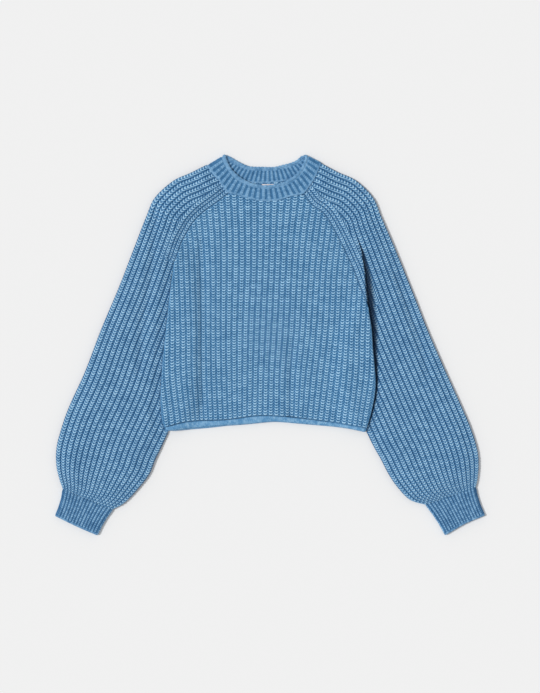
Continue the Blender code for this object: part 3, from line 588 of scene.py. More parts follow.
def rim_loop(cell):
    """The grid points round a connected set of cells, in order."""
    n, m = cell.shape
    wide = np.zeros((n + 2, m + 2), bool)
    wide[1:-1, 1:-1] = cell
    after = {}
    for (di, dj), (p, q) in (((0, -1), ((0, 0), (1, 0))), ((1, 0), ((1, 0), (1, 1))),
                             ((0, 1), ((1, 1), (0, 1))), ((-1, 0), ((0, 1), (0, 0)))):
        open_side = cell & ~wide[1 + di:n + 1 + di, 1 + dj:m + 1 + dj]
        for i, j in np.argwhere(open_side):
            after[(i + p[0]) * (m + 1) + j + p[1]] = (i + q[0]) * (m + 1) + j + q[1]
    start = next(iter(after))
    loop = [start]
    while after[loop[-1]] != start:
        loop.append(after[loop[-1]])
    if len(loop) != len(after):
        raise ValueError("a stitch grid has a hole")
    return np.array(loop)


class Grid:
    """A grid of places with the wale and row of each."""

    def __init__(self, x, y, u, v):
        self.x, self.y, self.u, self.v = x, y, u, v
        flat = np.stack((x.ravel(), y.ravel()), 1)
        self.tree = kdtree.KDTree(len(flat))
        for k, p in enumerate(flat.tolist()):
            self.tree.insert((p[0], p[1], 0.0), k)
        self.tree.balance()

    def read(self, xy):
        """Wale and row at any place, from the nearest grid point and its neighbours."""
        near = np.array([self.tree.find((p[0], p[1], 0.0))[1] for p in xy.tolist()])
        i, j = np.unravel_index(near, self.x.shape)
        i0, i1 = np.maximum(i - 1, 0), np.minimum(i + 1, self.x.shape[0] - 1)
        j0, j1 = np.maximum(j - 1, 0), np.minimum(j + 1, self.x.shape[1] - 1)
        ax, ay = self.x[i1, j] - self.x[i0, j], self.y[i1, j] - self.y[i0, j]
        bx, by = self.x[i, j1] - self.x[i, j0], self.y[i, j1] - self.y[i, j0]
        dx, dy = xy[:, 0] - self.x[i, j], xy[:, 1] - self.y[i, j]
        den = ax * by - ay * bx
        s, t = (dx * by - dy * bx) / den, (ax * dy - ay * dx) / den
        out = []
        for g in (self.u, self.v):
            out.append(g[i, j] + s * (g[i1, j] - g[i0, j]) + t * (g[i, j1] - g[i, j0]))
        return np.stack(out, 1)


def knit_patch(skin, grid, ring, tags, tag):
    """Fill an outline with stitch cells, and a band of triangles from them to the outline."""
    ok = inside(grid.x, grid.y, ring)
    near = ok & (away(grid.x, grid.y, closed(ring[::3])) < NEAR_RING)
    ok[near] = away(grid.x[near], grid.y[near], closed(ring)) > MARGIN
    cell = kept_cells(ok)
    loop = rim_loop(cell)
    cols = grid.x.shape[1]
    i, j = (k.astype(int) for k in np.nonzero(cell))
    a, b, c, d = i * cols + j, (i + 1) * cols + j, (i + 1) * cols + j + 1, i * cols + j + 1
    tri = np.vstack((np.stack((a, b, c), 1), np.stack((a, c, d), 1)))
    used = np.unique(tri)
    renamed = np.full(grid.x.size, -1)
    xy = np.stack((grid.x.ravel(), grid.y.ravel()), 1)
    uv = np.stack((grid.u.ravel(), grid.v.ravel()), 1)
    renamed[used] = skin.add(xy[used], uv[used], tag)
    tri = facing(xy, tri)
    skin.faces(renamed[tri], uv[tri])
    ring_uv = grid.read(ring)
    edge = skin.border(ring, ring_uv, tags)
    both = np.vstack((ring, xy[loop]))
    tri = facing(both, filled(ring, xy[loop], True))
    skin.faces(np.concatenate((edge, renamed[loop]))[tri], np.vstack((ring_uv, uv[loop]))[tri])
    return edge


def plain_patch(skin, grid, ring, tags, points, tag, up):
    """Fill an outline with plain triangles through scattered points."""
    inner = np.asarray(points, float).reshape(-1, 2)
    ring_uv, inner_uv = grid.read(ring), grid.read(inner)
    ids = np.concatenate((skin.border(ring, ring_uv, tags), skin.add(inner, inner_uv, tag)))
    both = np.vstack((ring, inner))
    tri = facing(both, filled(ring, inner, False), up)
    skin.faces(ids[tri], np.vstack((ring_uv, inner_uv))[tri])
    return ids[:len(ring)]


def lattice(ring, step, margin):
    """Scattered places at least a margin inside an outline."""
    low, high = ring.min(0), ring.max(0)
    x, y = np.meshgrid(np.arange(low[0], high[0], step), np.arange(low[1], high[1], step))
    x = x + (np.arange(x.shape[0]) % 2)[:, None] * step / 2
    ok = inside(x, y, ring)
    ok[ok] = away(x[ok], y[ok], closed(ring)) > margin
    return np.stack((x[ok], y[ok]), 1)


def face_normals(points, tri, count):
    """The direction that each point of a mesh faces."""
    a, b, c = (points[tri[:, k]] for k in range(3))
    n = np.cross(b - a, c - a)
    out = np.zeros((count, 3))
    for k in range(3):
        np.add.at(out, tri[:, k], n)
    return out / np.maximum(np.linalg.norm(out, axis=1), 1e-9)[:, None]


def make_piece(name, points, tri, corner_uv, knit, material, painted_shade=None):
    """A mesh object from points in plan millimetres; knit is how much of the stitch pattern, with
    its painted shade and highlights, each point carries, the last mark how much painted shade
    it gets where it lies deep in a fold."""
    data = bpy.data.meshes.new(name)
    data.vertices.add(len(points))
    data.loops.add(tri.size)
    data.polygons.add(len(tri))
    spots = (points + (SHIFT_X, 0, 0)) * MM
    data.vertices.foreach_set("co", spots.astype(np.float32).ravel())
    data.loops.foreach_set("vertex_index", tri.astype(np.int32).ravel())
    data.polygons.foreach_set("loop_start", np.arange(0, tri.size, 3, dtype=np.int32))
    data.update(calc_edges=True)
    data.uv_layers.new(name="stitch")
    data.uv_layers["stitch"].data.foreach_set("uv", corner_uv.astype(np.float32).ravel())
    marks = {"knit": knit, "painted_shade": np.zeros(len(points)) if painted_shade is None else painted_shade}
    for key, values in marks.items():
        mark = data.attributes.new(key, "FLOAT", "POINT")
        mark.data.foreach_set("value", np.asarray(values, np.float32))
    work = bmesh.new()
    work.from_mesh(data)
    bmesh.ops.delete(work, geom=[v for v in work.verts if not v.link_faces], context="VERTS")
    open_edges = sum(not e.is_manifold for e in work.edges)
    if open_edges:
        print(name, "has", open_edges, "open edges")
    bmesh.ops.recalc_face_normals(work, faces=work.faces)
    work.to_mesh(data)
    work.free()
    data.shade_smooth()
    data.materials.append(material)
    thing = bpy.data.objects.new(name, data)
    bpy.context.collection.objects.link(thing)
    return thing


# ---- front and back ------------------------------------------------------
def front_grid():
    """Places, wales and rows over the front, a little past its outline all round."""
    u = wale_columns(-1, BODY_WALES + 1, BODY_CUTS)
    rows = np.arange(*(round(end / BODY.row) * ROW_POINTS for end in FRONT_REACH)) / ROW_POINTS
    u, row = np.meshgrid(u, rows, indexing="ij")
    v = row + BODY.climb(u)
    rib, level = u.ravel() - 0.5, (v * BODY.row).ravel()

    def rib_x(y):
        """x of each column's rib at heights y."""
        table = np.array([hermite(RIB_Y[::-1], r[:0:-1], y) for r in RIB_X])
        return hermite([r[0] for r in RIB_X], table, rib)

    y = level
    for _ in range(2):
        hem_y = np.interp(rib_x(y), *HEM_LINE.T)
        y = level + (hem_y - HEM_LEVEL) * (1 - fade(level, *ROWS_BEND))
    x = rib_x(y)
    return Grid(x.reshape(u.shape), y.reshape(u.shape), u, v)


def body_outline(step):
    """Stretches round the front: side folds, hem, raglan seams and neck."""
    seams = [shifted(line, SEAM_GAP) for line in
             (HEM_LINE, FRONT_RAGLAN["left"][::-1], FRONT_NECK, FRONT_RAGLAN["right"])]
    lines = (EDGE["right"], seams[0], EDGE["left"][::-1], *seams[1:])
    return [evenly(line, step)[:-1] for line in lines]


def ring_places(stretches):
    """Place of each point along its closed outline, a whole number at each stretch's start."""
    return np.concatenate([k + np.arange(len(s)) / len(s) for k, s in enumerate(stretches)])


def side_distance(x, y):
    """Distance of points from the nearer side fold of the body."""
    return np.minimum(away(x, y, EDGE["right"]), away(x, y, EDGE["left"]))


def front_panel(material):
    """The front and the grid of its stitches, which the back takes its wales from."""
    grid = front_grid()
    skin = Skin()
    fine = body_outline(EDGE_STEP)
    ring = np.vstack(fine)
    edge = knit_patch(skin, grid, ring, [0] * len(ring), 0)
    rough = body_outline(UNDER_STEP)
    under_ring = np.vstack(rough)
    spots = lattice(under_ring, *UNDER_SPOTS)
    under = plain_patch(skin, grid, under_ring, [1] * len(under_ring), spots, 1, False)
    skin.close_slit(edge, ring_places(fine), under, ring_places(rough), len(fine))
    data, tag = skin.all_points()
    x, y, u, v = data.T
    side = side_distance(x, y)
    raglan = np.minimum(away(x, y, FRONT_RAGLAN["right"]), away(x, y, FRONT_RAGLAN["left"]))
    seams = np.min([raglan, away(x, y, FRONT_NECK), away(x, y, HEM_LINE)], 0)
    outer = tag == 0
    roll = rolled(side, np.where(x < 0, *FRONT_ROLL)) * ease(seams / ROLL_ENDS)
    knobs = KNOBS * bell(raglan - KNOBS_AT[0], KNOBS_AT[1])
    wall = FRONT_WALL - roll - SEAM_SINK[0] * (1 - ease(seams / SEAM_SINK[1])) + knobs
    z = front_under(x, y) + outer * (wall - FOLD_DEPTH * soft_folds(x, y))
    points = np.stack((x, y, z), 1)
    knit = grows(seams, *FRONT_STITCHES[0]) * grows(side, *FRONT_STITCHES[1])
    relief = outer * knit * BODY.relief(u, v)
    points = points + skin.normals(points, 2) * relief[:, None]
    return skin.piece("front_knit", points, knit, material), grid


def dropped(line):
    """A line of the back's hem, which shows below the front's towards the right side."""
    x = line[:, 0]
    comes, goes = HEM_DROP_X
    drop = HEM_DROP * fade(x, *comes) * (1 - fade(x, *goes))
    return line - np.stack((0 * drop, drop), 1)


def back_outline(step):
    """Stretches round the back panel: each side fold, the hem, raglan seams and neck."""
    folds = []
    for side, sign in SIDES:
        x, y = BACK_RAGLAN[side][-1]
        below = EDGE[side][EDGE[side][:, 1] < y - FOLD_JOIN]
        folds.append(np.vstack(((x - sign * FOLD_START[0], y - FOLD_START[1]), below)))
    hem, left, neck, right = (shifted(line, SEAM_GAP) for line in
                              (dropped(HEM_LINE), REAR_RAGLAN["left"][::-1], REAR_NECK,
                               REAR_RAGLAN["right"]))
    lines = (folds[0], hem, folds[1][::-1], left, neck, right)
    stretches = [evenly(line, step)[:-1] for line in lines]
    stretches[2] = np.vstack((stretches[2], folds[1][:1]))
    stretches[3] = stretches[3][1:]
    return stretches


def back_panel(material, grid):
    """The back, plain on both faces, with its wales as on the front."""
    skin = Skin()
    stretches = back_outline(BACK_STEP)
    ring = np.vstack(stretches)
    folds = [shifted(line, d)[2:-2] for line in stretches[:3:2] for d in BACK_FOLD_ROWS]
    inner = np.vstack([lattice(ring, *BACK_SPOTS)] + folds)
    rings = []
    for layer, up in ((0, True), (1, False)):
        rings.append(plain_patch(skin, grid, ring, [layer] * len(ring), inner, layer, up))
    places = ring_places(stretches)
    skin.close_slit(rings[0], places, rings[1], places, len(stretches))
    data, tag = skin.all_points()
    x, y = data[:, 0], data[:, 1]
    roll = rolled(side_distance(x, y), BACK_ROLL) * fade(y, *BACK_ROLL_Y[0]) * fade(y, *BACK_ROLL_Y[1])
    z = lift(x, y) + np.where(tag == 0, BACK_WALL, np.minimum(roll, BACK_ROLL))
    points = np.stack((x, y, z), 1)
    return skin.piece("back_knit", points, np.ones(len(points)), material)


# ---- sleeves -------------------------------------------------------------
BELOW_TUCK = 10            # stations from this one on give the inner fold below the body
BEYOND = (118, 345)        # a place past the shoulder, from which the rims are led in
COLLAR_CLEAR = (7, 5, 3, 1.5)   # more seam gap at the rims' first points, by the collar's fold
WALE_RUN = (-0.06, 1.05, 700)   # ends of the wales as shares of the stations' run, and points
ROW_ZERO = 0.43            # share of the run at row 0
SLEEVE_ROWS = (-110, 90)
ROW_TILT = {"right": 2.0, "left": 8.0}     # degrees that rows lean up towards the body
SEAM_WALES = (8.2, 13.2, 21.9)             # where the three wales along the raglan seam end
NARROW_RISE = 0.65         # relief of the narrow one in the middle
GATHER = (0.55, 2, 16)     # loss of relief at the cuff, and the distances between which it ends

# a value with brackets in it is what it starts with, and what each bracket adds between two heights
PUFF = (3.6, (0.6, -120, -200))      # how much a sleeve's middle stands over its outer fold
OUTER_SLOPE = 26           # it comes up over this much cloth from the outer fold,
INNER_SLOPE = (3, 37)      # between these distances from the inner fold,
SEAM_SLOPE = 20            # this much from the raglan seam
CUFF_SLOPE = 32            # and this much from the cuff
TUCK_ENDS = (-168, -198)   # the inner fold comes up to the other's height between these heights
TROUGH = (3.2, 9)          # depth and half width of the soft trough
BODY_ENDS = -158           # no cloth lies on the sleeves below this
FREE_BELOW = (0, (8, -160, -186))    # how much higher a sleeve may lie below the body

# the right sleeve beside the body
BESIDE_STEP = 1.5          # how much it stands over its tucked height at the side fold
BESIDE_RISE = (4.5, 22)    # how much it rises from there, over how much cloth
BESIDE_FLAT = (2, (7, -95, -120))    # how far from the side fold that starts

# the left sleeve beside the body: a deep crease
CREASE = 5.3               # height of its bottom
CREASE_RIM = 14.5          # height that its walls lead up to
CREASE_STARTS = (200, 154) # it deepens between these heights
CREASE_FLOOR = (0.6, (6.0, 165, 75), (4, -70, -90))      # width of its flat bottom
NEAR_WALL = (8, (7, 140, 200))       # radius of its wall at the body
FAR_WALL = 3               # how much more the radius of the far one is
CREASE_EDGE = 0.5          # its bottom reaches this far under the body's edge
CLEAR_ABOVE = 9            # above its start the stitches are this much clearer of it
# shade painted into the yarn's colour in the crease
SHADE_LEAST = 0.1          # least width of the painted shade
SHADE_NEAR = 0.35          # its width on the body's side, as a share of that on the far side
SHADE_ENDS = (0.5, 1.1)    # where the painted shade starts to fade and is gone, as shares of its width
SHADE_TOP, SHADE_FOOT = (208, 164), (-156, -150)

FOLD, UP, LOW, IN_UP, IN_LOW, IN_FOLD = range(6)     # layers of a sleeve


def sleeve_lines(side, sign):
    """Outer fold, cuff seam, inner fold, then the rims at the front and the back seams."""
    table = np.array(STATIONS[side], float)
    outer = dense(table[:, :2])
    inner = dense(np.vstack((TUCK_EDGE[side][1:], table[BELOW_TUCK:, 2:])))
    armpit = inner[0]
    shoulder = NECK_SEAM[0 if side == "right" else -1]
    beyond = (sign * BEYOND[0], BEYOND[1])
    rims = []
    for neck, seam in ((NECK, FRONT_RAGLAN[side]), (BACK_NECK, REAR_RAGLAN[side])):
        line = np.vstack((part(neck, shoulder, seam[0]), seam[1:]))
        push = np.full(len(line), SEAM_GAP * sign)
        push[:len(COLLAR_CLEAR)] *= 1 + np.array(COLLAR_CLEAR)
        rims.append(np.vstack((beyond, shifted(line, push))))
    rims[0] = np.vstack((rims[0], armpit))
    rims[1][-1] = armpit
    _, top = meeting(rims[0], outer)
    rims = [np.vstack((top, rim[meeting(rim, outer)[0] + 1:])) for rim in rims]
    crossed, _ = meeting(outer, np.vstack((beyond, rims[0])))
    outer = np.vstack((top, outer[crossed + 1:]))
    return outer, np.array(CUFF_SEAM[side], float), inner[::-1], rims[0], rims[1]


def sleeve_grid(side):
    """Places, wales and rows over a sleeve, a little past its outline all round."""
    table = np.array(STATIONS[side], float)
    knots = range(len(table))
    s = np.linspace(*WALE_RUN)
    ends = [np.stack([hermite(knots, table[:, c], s * knots[-1]) for c in cols], 1)
            for cols in ((0, 1), (2, 3))]
    start = np.searchsorted(s, ROW_ZERO)
    width = np.hypot(*(ends[1] - ends[0]).T)
    middle = lengths(ends[0] + ends[1]) / 2
    u = wale_columns(0, SLEEVE_WALES, SLEEVE_CUTS)
    rows = np.arange(*(end * ROW_POINTS for end in SLEEVE_ROWS)) / ROW_POINTS
    x, y = np.empty((len(u), len(rows))), np.empty((len(u), len(rows)))
    tilt = math.tan(math.radians(ROW_TILT[side]))
    for k, w in enumerate(u):
        t = w / SLEEVE_WALES
        line = ends[0] + (ends[1] - ends[0]) * t
        own = lengths(line)
        run = (middle - middle[start] + own - own[start]) / 2 + tilt * width * (t - 0.5)
        where = np.interp(-SLEEVE.row * (rows + SLEEVE.climb(w)), np.maximum.accumulate(run), s)
        # every seventh point of the wale is enough for a smooth line
        x[k], y[k] = (hermite(s[::7], line[::7, c], where) for c in (0, 1))
    u, row = np.meshgrid(u, rows, indexing="ij")
    return Grid(x, y, u, row + SLEEVE.climb(u))


def seam_grid(side, sign):
    """Stitches that run along the raglan seam in three wales, the middle one narrow."""
    shares = np.array(BODY_CUTS[1:] + (1.0,))
    ends = (0.0,) + SEAM_WALES
    reach = np.concatenate([a + (b - a) * shares for a, b in zip(ends, ends[1:])])[:-1]
    u = np.concatenate([k + shares for k in range(len(SEAM_WALES))])[:-1]
    line = FRONT_RAGLAN[side]
    run = lengths(line)
    last = math.ceil(run[-1] / SLEEVE.row) + 2
    rows = np.arange(-8 * ROW_POINTS, last * ROW_POINTS) / ROW_POINTS
    u, row = np.meshgrid(u, rows, indexing="ij")
    v = SLEEVE.climb(u) - row
    q = -v * SLEEVE.row
    base, ahead = (np.stack([hermite(run, line[:, c], q + e) for c in (0, 1)], -1) for e in (0, 1))
    ahead = (ahead - base) / np.hypot(*np.moveaxis(ahead - base, -1, 0))[..., None]
    reach = sign * reach[:, None]
    return Grid(base[..., 0] - ahead[..., 1] * reach, base[..., 1] + ahead[..., 0] * reach, u, v)


def sleeve_top(side, sign, x, y, outer, inner, rim):
    """Top of the sleeve between its wales, and how clear of the body it lies."""
    near_fold = 1 - fade(away(x, y, inner[::2]), *INNER_SLOPE)
    up = ease((away(x, y, outer[::3]) - TUBE / 2) / OUTER_SLOPE)
    z = TUBE + stepped(y, *PUFF) * up * (1 - near_fold)
    z = z - (TUBE - TUCKED) * (1 - fade(y, *TUCK_ENDS)) * near_fold
    from_seam = ease(away(x, y, rim[:-1]) / SEAM_SLOPE)
    foot = lift(x, y, True) + BACK_WALL + CLEAR + FRONT_WALL
    z = foot + (z - foot) * from_seam
    z = z - TROUGH[0] * bell(away(x, y, SOFT_TROUGH[side]), TROUGH[1]) * from_seam
    z = TUBE + (z - TUBE) * ease(away(x, y, CUFF_SEAM[side]) / CUFF_SLOPE)
    edge = CREASE_LINE if side == "left" else BODY_EDGE["right"]
    outside = sign * (x - x_at(edge, y)) > 0
    gap = away(x, y, edge)
    begun = np.ones(np.shape(x))
    if side == "right":
        rise, over = BESIDE_RISE
        cap = TUCKED + BESIDE_STEP + rise * grows(gap, stepped(y, *BESIDE_FLAT), over)
    else:
        begun = fade(y, *CREASE_STARTS)
        radius = stepped(y, *NEAR_WALL)
        far = rolled(np.maximum(gap - stepped(y, *CREASE_FLOOR), 0) / (radius + FAR_WALL), 1)
        near = rolled(np.maximum(gap - CREASE_EDGE, 0) / radius, 1)
        cap = CREASE + (CREASE_RIM - CREASE) * (1 - np.where(outside, far, near))
        cap = z + (np.minimum(cap, z) - z) * begun
    under = (y < RAGLAN[side][-1][1]) & ~outside & (y > BODY_ENDS)
    cap = np.where(under, TUCKED, cap) + stepped(y, *FREE_BELOW)
    return np.minimum(z, cap), np.where(under, 0.0, gap + CLEAR_ABOVE * (1 - begun))


def crease_shade(x, y):
    """Painted shade: 1 where the left sleeve lies deep beside the body's edge, 0 in the open."""
    heights, widths = np.transpose(CREASE_REACH)
    width = np.interp(-y, -heights, widths)
    width = np.where(x > x_at(CREASE_LINE, y), width, width * SHADE_NEAR)
    shade = 1 - fade(away(x, y, CREASE_LINE) / np.maximum(width, SHADE_LEAST), *SHADE_ENDS)
    return shade * fade(y, *SHADE_TOP) * fade(y, *SHADE_FOOT)


def inset(ring, d):
    """A closed outline moved inwards by d."""
    way = np.roll(ring, -1, 0) - np.roll(ring, 1, 0)
    way /= np.hypot(way[:, 0], way[:, 1])[:, None]
    return ring + np.stack((-way[:, 1], way[:, 0]), 1) * d * np.sign(signed_area(ring))


def joined(lines):
    """A closed outline from lines that follow each other, each without its last point."""
    return np.vstack([line[:-1] for line in lines])


def layer_tags(lines, fold, layer):
    """Tags round outer fold, cuff, inner fold and rim, the corners with the folds."""
    n = [len(line) - 1 for line in lines]
    return ([fold] * (n[0] + 1) + [layer] * (n[1] - 1) + [fold] * (n[2] + 1)
            + [layer] * (n[3] - 1))


def end_points(skin, cuff, rim, layer):
    """Point numbers along a layer's cuff seam and along its rim."""
    out = []
    for line in (cuff, rim):
        tags = [FOLD] + [layer] * (len(line) - 2) + [FOLD]
        out.append(np.array([skin.known[skin.key(p, tag)] for p, tag in zip(line, tags)]))
    return out


def sleeve_upper(skin, side, sign, grid, lines):
    """Stitches of the upper layer; returns its rim from the shoulder to the armpit."""
    outer, cuff, inner, rim, _ = lines
    corner = int(np.argmin(np.hypot(*(rim - RAGLAN[side][0]).T)))
    neck, raglan, arm = rim[:corner + 1], rim[corner:-1], rim[-2:]
    strip = shifted(raglan, sign * SEAM_WALES[-1])
    # led on past the neck seam, so that the two lines cross
    strip = np.vstack((strip[0] + (strip[0] - strip[1]) * 6, strip))
    i, meet = meeting(strip, neck)
    k, _ = meeting(neck, strip)
    strip = evenly(np.vstack((meet, strip[i + 1:]))[::-1], EDGE_STEP)
    neck_far = evenly(np.vstack((neck[:k + 1], meet)), EDGE_STEP)
    neck_near = evenly(np.vstack((meet, neck[k + 1:])), EDGE_STEP)
    raglan, arm = evenly(raglan, EDGE_STEP), evenly(arm, EDGE_STEP)
    across = evenly(np.vstack((raglan[-1], strip[0])), EDGE_STEP)
    main = [outer, cuff, inner, arm[::-1], across, strip, neck_far[::-1]]
    layers = (FOLD, UP, FOLD, UP, UP, UP, UP)
    tags = [tag for tag, line in zip(layers, main) for _ in line[1:]]
    tags[len(outer) - 1] = tags[len(outer) + len(cuff) + len(inner) - 3] = FOLD
    knit_patch(skin, grid, joined(main), tags, UP)
    ring = joined([neck_near, raglan, across, strip])
    knit_patch(skin, seam_grid(side, sign), ring, [UP] * len(ring), UP)
    return np.vstack((neck_far[:-1], neck_near[:-1], raglan[:-1], arm))


def sleeve_lower(skin, sign, grid, lines, folds):
    """The plain lower layer, with rows of points along its two folds."""
    ring = joined(lines[:3] + [lines[3][::-1]])
    along = [evenly(line, 3) for line in folds]
    rounds = [shifted(line, -sign * d)[4:-4] for d in SLEEVE_FOLD_ROWS for line in along]
    spots = np.vstack([lattice(ring, *LOW_SPOTS)] + rounds)
    plain_patch(skin, grid, ring, layer_tags(lines, FOLD, LOW), spots, LOW, False)


def sleeve_inside(skin, grid, lines):
    """The two inner layers; returns the point numbers along each one's cuff end and rim."""
    mouths = {}
    folds = None
    for layer, rim in ((IN_UP, lines[3]), (IN_LOW, lines[4])):
        rough = [evenly(line, INSIDE_STEP) for line in (*lines[:3], rim[::-1])]
        ring = inset(joined(rough), LOW_WALL)
        shared = sum(len(line) - 1 for line in rough[:3]) + 1
        folds = ring[:shared] if folds is None else folds
        ring = np.vstack((folds, ring[shared:]))
        tags = layer_tags(rough, IN_FOLD, layer)
        spots = lattice(ring, *INSIDE_SPOTS)
        ids = plain_patch(skin, grid, ring, tags, spots, layer, layer == IN_LOW)
        first = len(rough[0]) - 1
        mouths[layer] = (ids[first:first + len(rough[1])],
                         np.append(ids[shared - 1:], ids[0])[::-1])
    return mouths


def close_mouths(skin, mouths):
    """Join the outer and the inner walls at the cuff end and at the rim."""
    for end in (0, 1):
        rounds = []
        for upper, lower in ((UP, LOW), (IN_UP, IN_LOW)):
            a, b = mouths[upper][end], mouths[lower][end]
            there, back = np.linspace(0, 1, len(a))[:-1], np.linspace(1, 2, len(b))[:-1]
            rounds += [np.concatenate((a[:-1], b[::-1][:-1])), np.concatenate((there, back))]
        skin.close_slit(*rounds, 2)


def sleeve(side, sign, material):
    """A tube pressed flat: stitches on its upper face, plain below and inside."""
    lines = sleeve_lines(side, sign)
    outer, _, inner, rim_up, rim_low = lines
    grid = sleeve_grid(side)
    skin = Skin()
    fine = [evenly(line, EDGE_STEP) for line in lines[:3]]
    rims = {UP: sleeve_upper(skin, side, sign, grid, fine + [rim_up, rim_low]),
            LOW: evenly(rim_low, LOW_STEP)}
    sleeve_lower(skin, sign, grid, fine + [rims[LOW]], (outer, inner))
    outside_patches = len(skin.tri)
    mouths = {layer: end_points(skin, fine[1], rim, layer) for layer, rim in rims.items()}
    mouths.update(sleeve_inside(skin, grid, lines))
    close_mouths(skin, mouths)

    data, tag = skin.all_points()
    x, y, u, v = data.T
    top, gap = sleeve_top(side, sign, x, y, outer, inner, rim_up)
    roll = rolled(np.minimum(away(x, y, outer), away(x, y, inner)), top / 2)
    inside_low = LOW_WALL + 0 * x
    heights = {FOLD: top / 2, UP: top - roll, LOW: roll,
               IN_UP: np.maximum(top - SLEEVE_WALL, LOW_WALL + SLOT),
               IN_LOW: inside_low, IN_FOLD: inside_low + SLOT / 2}
    points = np.stack((x, y, np.choose(tag, [heights[layer] for layer in range(6)])), 1)

    from_cuff = away(x, y, CUFF_SEAM[side])
    seams = np.minimum(away(x, y, rim_up[:-1]), from_cuff)
    knit = grows(seams, *SLEEVE_STITCHES[0]) * grows(gap, *SLEEVE_STITCHES[1])
    loss, *ends = GATHER
    gathered = 1 - loss * (1 - fade(from_cuff, *ends))
    from_raglan = away(x, y, FRONT_RAGLAN[side])
    narrow = (tag == UP) & (from_raglan > SEAM_WALES[0]) & (from_raglan < SEAM_WALES[1])
    normal = skin.normals(points, outside_patches)
    relief = (tag <= UP) * knit * SLEEVE.relief(u, v) * np.where(narrow, NARROW_RISE, gathered)
    points = points + normal * relief[:, None]
    knit = np.where(tag == LOW, 1.0, knit)
    # painted shade where the left sleeve lies deep beside the body's edge
    painted_shade = np.where((tag == UP) & (side == "left"), crease_shade(x, y), 0.0)
    return skin.piece("sleeve_" + side + "_knit", points, knit, material, painted_shade)


# ---- collar, cuffs and hem -----------------------------------------------
QUARTER = math.pi / 2
FOLD_TURNS = np.linspace(QUARTER, -QUARTER, 9)[1:-1]     # columns round a fold
FOLD_WALES = 0.14          # wales that each of them takes
FREE_EDGE = np.linspace(0, math.pi, 8)[1:-1]             # rows round the free edge
CROWN_SHARE = 0.2          # a layer is at its full height this share of its width from its folds
COLLAR_HEIGHT = (8.0, 1.1) # height of the collar's folds, and how much more between them
CUFF_HEIGHT = (TUBE, 0.5)
# how far round a fold, from -1 below to 1 above, relief starts, and over how much
FOLD_SHOWS, INSIDE_SHOWS = (-0.9, 0.6), (0.3, 0.6)
COLLAR_ROWS = np.concatenate((np.linspace(0, 0.87, 30), (0.9, 0.93, 0.96, 1.0)))
CUFF_ROWS = np.linspace(0, 1, 50)
HEM_ROWS = np.linspace(0, 1, 17)
HEM_CUTS = 4               # columns a loop of the hem
PLAIN_ROW = 3.6            # height of a stitch row on the cuffs and the hem
# rise of a linked or bound edge, the rise of its knobs and how many a rib
COLLAR_LINK = (0.5, 0.9, 1.5)
COLLAR_BOUND = (0.9, 1.1, 1)
CUFF_BOUND = (0.4, 0.4, 2)
# where each zone of a band starts and ends between its seam, 0, and its free edge, 1, and over
# how much it comes and goes
LINK_ZONE = ((-0.01, 0.02), (0.075, 0.03))
RIB_ZONE = ((0.09, 0.04), (0.81, 0.04))
BOUND_ZONE = ((0.895, 0.03),)
CUFF_RIB_END, CUFF_BOUND_ZONE = (0.95, 0.04), ((0.955, 0.02),)
CUFF_SINK = (0.9, 0.09)    # how much the cuff's ribs sink at its seam, and over how much
HEM_ROUND = 1.6            # how much lower the rolled hem is at its edges than in its middle
HEM_LOOP = 0.45            # rise of its loops
HEM_FURROW = (0.7, 0.06, 0.11)   # how marked its furrow is, in depth and in painted shade, where it runs and its half width
FURROW_DEPTH = 0.5         # how deep it would be if it were marked in full


